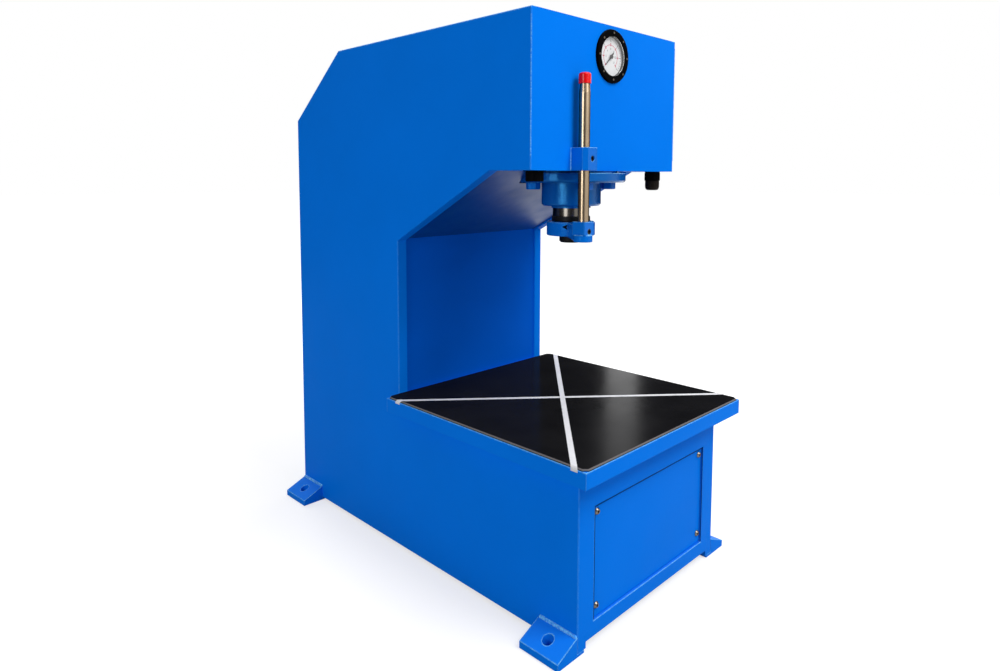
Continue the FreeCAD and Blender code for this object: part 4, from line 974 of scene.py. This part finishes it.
class PRESS_OT_collar_recess_shade(bpy.types.Operator):
    """Paint the shadow in the clamp collar's tapered recess as a flat dark cone, and set the screw's end
    into the collar's face
    """

    bl_idname = "press.clamp_recess"
    bl_label = "Collar Recess Shade"

    def execute(self, context):
        deselect()
        bpy.ops.mesh.primitive_cone_add(vertices=32, radius1=RECESS_RADIUS, depth=RECESS_LENGTH)
        recess = stand(context.object, turn=(pi / 2, 0.0, 0.0), size=(RECESS_FLATNESS, 1.0, 1.0))
        round_edges(recess, 0.0003)
        on_collar(recess, RECESS_ANGLE)
        finish_piece(recess, "clamp_recess", "seal", "ram")
        tip = new_cylinder(24, SCREW_END_RADIUS, SCREW_END_LENGTH)
        with editing(tip, "FACE", "DESELECT"):
            select_faces(tip, faces_up)
            bpy.ops.mesh.inset(thickness=SCREW_SOCKET)
            step = (0.0, 0.0, -SCREW_SOCKET)
            bpy.ops.mesh.extrude_region_move(TRANSFORM_OT_translate={"value": step})
        round_edges(tip, 0.0004)
        on_collar(stand(tip, turn=(0.0, pi / 2, 0.0)), SCREW_END_ANGLE)
        finish_piece(tip, "clamp_screw_end", "head_enamel", "ram")
        return {"FINISHED"}


class PRESS_OT_pointer_hub(bpy.types.Operator):
    """Cap the gauge pointer with its turned hub"""

    bl_idname = "press.pointer_hub"
    bl_label = "Pointer Hub"

    def execute(self, context):
        centre = middle("gauge_dial")
        hub = new_cylinder(40, HUB_RADIUS, HUB_HEIGHT)
        with editing(hub, "FACE", "DESELECT"):
            select_faces(hub, faces_up)
            bpy.ops.mesh.inset(thickness=HUB_STEP)
            bpy.ops.transform.translate(value=(0.0, 0.0, HUB_CROWN))
        round_edges(hub, 0.0003)
        place = (centre.x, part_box("gauge_pointer")[0].y - HUB_STANDOFF, centre.z)
        stand(hub, place, (pi / 2, 0.0, 0.0))
        finish_piece(clean(hub), "pointer_hub", "gland_tip", "pointer")
        return {"FINISHED"}


# Operator: gauge scale
# Inner and outer end of the marks as shares of the dial's radius, and the marks' width.
FINE_MARKS = (0.84, 0.92, 0.0005)
MAIN_MARKS = (0.76, 0.92, 0.0009)
RED_MARKS = (0.53, 0.7, 0.0015)
# Place as a share of the dial's radius, and the arc's width or the numbers' height.
RED_ARC = (0.6, 0.0009)
NUMBERS = (0.4, 0.0052)
ARC_STEPS = 72


def dial_point(radius, share):
    """A point in the print at a share of the sweep, from the lower left round over the top."""
    centre = middle("gauge_dial")
    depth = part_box("gauge_dial")[0].y - sizes().print_thickness / 2
    angle = pi * 1.5 - (2 * pi - sizes().dial_sweep) / 2 - share * sizes().dial_sweep
    return Vector((centre.x + radius * cos(angle), depth, centre.z + radius * sin(angle))), angle


def ticks(rim, marks, shares):
    """The printed lines of one scale."""
    inner, outer, width = marks
    lines = []
    for share in shares:
        place, angle = dial_point(rim * (inner + outer) / 2, share)
        deselect()
        bpy.ops.mesh.primitive_cube_add(size=1.0)
        lines.append(stand(bpy.context.object, place, (0.0, -angle, 0.0),
                           (rim * (outer - inner), sizes().print_thickness, width)))
    return lines


def arc(radius, width):
    """A printed arc over the dial's sweep, spun from a small square."""
    start, angle = dial_point(radius, 0.0)
    centre = middle("gauge_dial")
    band = stand(new_plane(), start, (0.0, -angle, 0.0), (width, sizes().print_thickness, 1.0))
    with editing(band):
        bpy.ops.mesh.spin(steps=ARC_STEPS, angle=-sizes().dial_sweep,
                          center=(centre.x, start.y, centre.z), axis=(0.0, 1.0, 0.0))
    return clean(band)


def number(text, radius, height, share):
    """One printed number, upright on the dial."""
    deselect()
    bpy.ops.object.text_add()
    label = bpy.context.object
    label.data.body = text
    label.data.size = height
    label.data.align_x = "CENTER"
    label.data.align_y = "CENTER"
    label.data.extrude = sizes().print_thickness / 2
    activate(label)
    bpy.ops.object.convert(target="MESH")
    return clean(stand(bpy.context.object, dial_point(radius, share)[0], (pi / 2, 0.0, 0.0)))


class PRESS_OT_dial_scale(bpy.types.Operator):
    """Print the gauge's black outer scale and its red inner scale"""

    bl_idname = "press.dial_scale"
    bl_label = "Dial Scale"

    def execute(self, context):
        low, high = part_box("gauge_dial")
        rim = (high.x - low.x) / 2
        major, minor = sizes().dial_major, sizes().dial_minor
        main = [index / major for index in range(major + 1)]
        between = [index / (major * minor) for index in range(major * minor) if index % minor]
        place, height = NUMBERS
        grey = ticks(rim, FINE_MARKS, between)
        grey += [number(str(index * sizes().dial_step), rim * place, height, share)
                 for index, share in enumerate(main)]
        finish_piece(join(grey), "dial_scale_fine", "ink_grey")
        finish_piece(join(ticks(rim, MAIN_MARKS, main)), "dial_scale_outer", "ink_black")
        place, width = RED_ARC
        red = [arc(rim * place, width)] + ticks(rim, RED_MARKS, main)
        finish_piece(join(red), "dial_scale_inner", "ink_red")
        return {"FINISHED"}


# Operator: ribbed glands
RIB_RADIUS = 0.0009
RIB_INSET = 0.45
# Plain lengths below and above the ribs, and how many ribs there are.
BODY_RIBS = (0.001, 0.0025, 36)
TIP_RIBS = (0.006, 0.0005, 30)


def gland_ribs(name, node, radius, bottom, top, count, material):
    """A sleeve of shallow grip ribs round a gland's body."""
    centre = middle(node)
    rib = new_cylinder(10, RIB_RADIUS, top - bottom)
    stand(rib, (radius - RIB_RADIUS * RIB_INSET, 0.0, 0.0))
    round_edges(rib, RIB_RADIUS * 0.5)
    ribs = [rib]
    for index in range(1, count):
        ribs.append(stand(copy_piece(rib), turn=(0.0, 0.0, 2 * pi * index / count)))
    sleeve = stand(join(ribs), (centre.x, centre.y, (top + bottom) / 2))
    finish_piece(sleeve, name, material)


class PRESS_OT_gland_ribs(bpy.types.Operator):
    """Raise the grip ribs on the glands under the arm"""

    bl_idname = "press.gland_ribs"
    bl_label = "Gland Ribs"

    def execute(self, context):
        low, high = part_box("gland_right")
        radius = (high.x - low.x) / 2
        below, above, count = BODY_RIBS
        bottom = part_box("gland_left")[0].z + below
        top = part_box("arm_bottom_plate")[0].z - above
        for side in ("left", "right"):
            gland_ribs(f"gland_ribs_{side}", f"gland_{side}", radius, bottom, top, count, "gland")
        below, above, count = TIP_RIBS
        low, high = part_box("gland_right_nut")
        gland_ribs("gland_ribs_tip", "gland_right_nut", (high.x - low.x) / 2, low.z + below,
                   high.z - above, count, "gland_tip")
        return {"FINISHED"}


# Operator: stage
CAMERA_PLACE = (-0.97004, -0.95798, 0.70041)
CAMERA_PITCH = -0.0812
CAMERA_YAW = -0.7705
CAMERA_LENS = 24.92
CAMERA_SENSOR = 36.0
CAMERA_SHIFT = (0.02, -0.1018)
FLOOR_SIZE = 60.0
FLOOR_DROP = 0.0005
FLOOR_TONE = 0.42
# Distances from the origin between which the floor runs into white, and where it starts.
FLOOR_FADE = (0.6, 2.2)
FLOOR_LIFT = 0.66
WORLD_LIGHT = 0.2
MACHINE = (0.0, -0.1, 0.5)
# Name, place, target, width, height and power of each soft light.
LAMPS = (
    ("Key", (0.5, -2.4, 3.3), MACHINE, 1.6, 1.6, 92.0),
    ("Front", (0.3, -3.2, 1.9), MACHINE, 1.8, 1.4, 22.0),
    ("Left", (-2.984, -0.504, 1.05), (0.0, -0.19, 0.7), 1.2, 1.24, 27.5),
    ("Top", (0.2, -0.3, 3.6), MACHINE, 2.0, 2.0, 23.0),
    ("Right", (3.2, 0.0, 2.2), MACHINE, 2.0, 2.0, 45.0),
    ("Back", (0.4, 3.2, 2.4), MACHINE, 2.0, 2.0, 50.0),
    ("Strip", (2.775, 1.573, 1.7), (0.1, -0.2, 0.3), 0.2, 2.4, 8.6),
)
# Name, azimuth, spread, distance from the ram, height and tone of each dark card.
CARDS = (
    ("card_behind_camera", radians(-142.0), radians(44.0), 2.4, 1.6, 0.08),
    ("card_left", radians(133.0), radians(84.0), 3.7, 2.4, 0.02),
    ("card_right", radians(-6.0), radians(46.0), 4.3, 3.4, 0.02),
    ("card_rear", radians(46.0), radians(60.0), 4.3, 3.4, 0.02),
)


def add_camera():
    data = bpy.data.cameras.new("Camera")
    data.sensor_width = CAMERA_SENSOR
    data.lens = CAMERA_LENS
    data.shift_x, data.shift_y = CAMERA_SHIFT
    data.clip_start = 0.01
    camera = bpy.data.objects.new("Camera", data)
    camera.location = CAMERA_PLACE
    camera.rotation_euler = (pi / 2 + CAMERA_PITCH, 0.0, CAMERA_YAW)
    bpy.context.scene.collection.objects.link(camera)
    bpy.context.scene.camera = camera


def add_soft_light(name, place, target, width, height, power):
    """A rectangular soft light at a place, aimed at a target."""
    data = bpy.data.lights.new(name, "AREA")
    data.shape = "RECTANGLE"
    data.size = width
    data.size_y = height
    data.energy = power
    lamp = bpy.data.objects.new(name, data)
    lamp.location = place
    lamp.rotation_euler = (Vector(target) - Vector(place)).to_track_quat("-Z", "Y").to_euler()
    lamp.visible_camera = False
    bpy.context.scene.collection.objects.link(lamp)


def add_card(name, azimuth, spread, distance, top, tone):
    """A dark card out of sight, upright on the floor, that only gloss and metal mirror."""
    centre = middle("ram_rod")
    place = (centre.x + distance * cos(azimuth), centre.y + distance * sin(azimuth), top / 2)
    card = stand(new_plane(), place, (pi / 2, 0.0, azimuth + pi / 2),
                 (2 * distance * tan(spread / 2), top, 1.0))
    card.name = name
    grey = (tone, tone, tone)
    card.data.materials.append(
        coated_material(name, grey, 1.0, patch=(1.5, 0.5, shade(grey, 0.8)), specular=0.0))
    for ray in ("camera", "diffuse", "transmission", "shadow"):
        setattr(card, f"visible_{ray}", False)


def seen_rays(tree):
    """One for what the eye meets directly, in a mirror or through glass."""
    ray = add_node(tree, "ShaderNodeLightPath").outputs
    seen = math_node(tree, "ADD", ray["Is Camera Ray"], ray["Is Transmission Ray"])
    return math_node(tree, "ADD", seen, ray["Is Glossy Ray"], clamp=True)


def add_world():
    """White to the eye, in mirrors and through glass; a soft even light to the object."""
    world = bpy.data.worlds.new("Studio")
    bpy.context.scene.world = world
    world.use_nodes = True
    tree = world.node_tree
    background = tree.nodes["Background"].inputs
    feed(tree, (1.0, 1.0, 1.0), background["Color"])
    feed(tree, map_range(tree, seen_rays(tree), 0.0, 1.0, WORLD_LIGHT), background["Strength"])


def floor_material():
    """Pale floor that keeps the object's shadow and runs into the white background."""
    tone = (FLOOR_TONE, FLOOR_TONE, FLOOR_TONE)
    material, tree, _ = new_material("Studio Floor", tone, 0.9, specular=0.0)
    away = add_node(tree, "ShaderNodeVectorMath", {0: object_place(tree)}, operation="LENGTH")
    fade = map_range(tree, away.outputs["Value"], *FLOOR_FADE, to_low=FLOOR_LIFT,
                     interpolation_type="SMOOTHSTEP")
    lift = math_node(tree, "MULTIPLY", seen_rays(tree), fade)
    glow = add_node(tree, "ShaderNodeEmission", {"Strength": lift}).outputs["Emission"]
    plain = tree.nodes["Principled BSDF"].outputs["BSDF"]
    both = add_node(tree, "ShaderNodeAddShader", {0: plain, 1: glow})
    feed(tree, both.outputs["Shader"], surface_of(material))
    return material


class PRESS_OT_stage(bpy.types.Operator):
    """Set up the floor, the soft lights, the dark cards and the camera"""

    bl_idname = "press.stage"
    bl_label = "Stage"

    def execute(self, context):
        deselect()
        bpy.ops.mesh.primitive_plane_add(size=FLOOR_SIZE, location=(0.0, 0.0, -FLOOR_DROP))
        floor = context.object
        floor.name = "studio_floor"
        floor.data.materials.append(floor_material())
        add_world()
        add_camera()
        for lamp in LAMPS:
            add_soft_light(*lamp)
        for card in CARDS:
            add_card(*card)
        context.scene.view_settings.view_transform = "Standard"
        return {"FINISHED"}


class PRESS_PT_panel(bpy.types.Panel):
    """Lists the press's dressing steps"""

    bl_idname = "PRESS_PT_panel"
    bl_label = "Hydraulic Press"
    bl_space_type = "VIEW_3D"
    bl_region_type = "UI"
    bl_category = "Press"

    def draw(self, context):
        for group in (context.scene.press_colours, context.scene.press_sizes):
            for name in group.bl_rna.properties.keys():
                if name not in ("rna_type", "name"):
                    self.layout.prop(group, name)
        for operator in OPERATORS:
            self.layout.operator(operator.bl_idname)


OPERATORS = (
    PRESS_OT_paint_frame,
    PRESS_OT_finish_metals,
    PRESS_OT_finish_trim,
    PRESS_OT_weld_beads,
    PRESS_OT_strip_ends,
    PRESS_OT_notch_fillers,
    PRESS_OT_panel_gap_shade,
    PRESS_OT_collar_recess_shade,
    PRESS_OT_pointer_hub,
    PRESS_OT_dial_scale,
    PRESS_OT_gland_ribs,
    PRESS_OT_stage,
)
CLASSES = (PressColours, PressSizes, *OPERATORS, PRESS_PT_panel)


def register():
    for item in CLASSES:
        bpy.utils.register_class(item)
    bpy.types.Scene.press_colours = bpy.props.PointerProperty(type=PressColours)
    bpy.types.Scene.press_sizes = bpy.props.PointerProperty(type=PressSizes)


def unregister():
    del bpy.types.Scene.press_sizes
    del bpy.types.Scene.press_colours
    for item in reversed(CLASSES):
        bpy.utils.unregister_class(item)


def main():
    register()
    bpy.ops.press.paint_frame()
    bpy.ops.press.finish_metals()
    bpy.ops.press.finish_trim()
    bpy.ops.press.weld_beads()
    bpy.ops.press.strip_ends()
    bpy.ops.press.notch_fillers()
    bpy.ops.press.panel_seal()
    bpy.ops.press.clamp_recess()
    bpy.ops.press.pointer_hub()
    bpy.ops.press.dial_scale()
    bpy.ops.press.gland_ribs()
    bpy.ops.press.stage()
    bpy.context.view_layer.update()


if __name__ == "__main__":
    main()
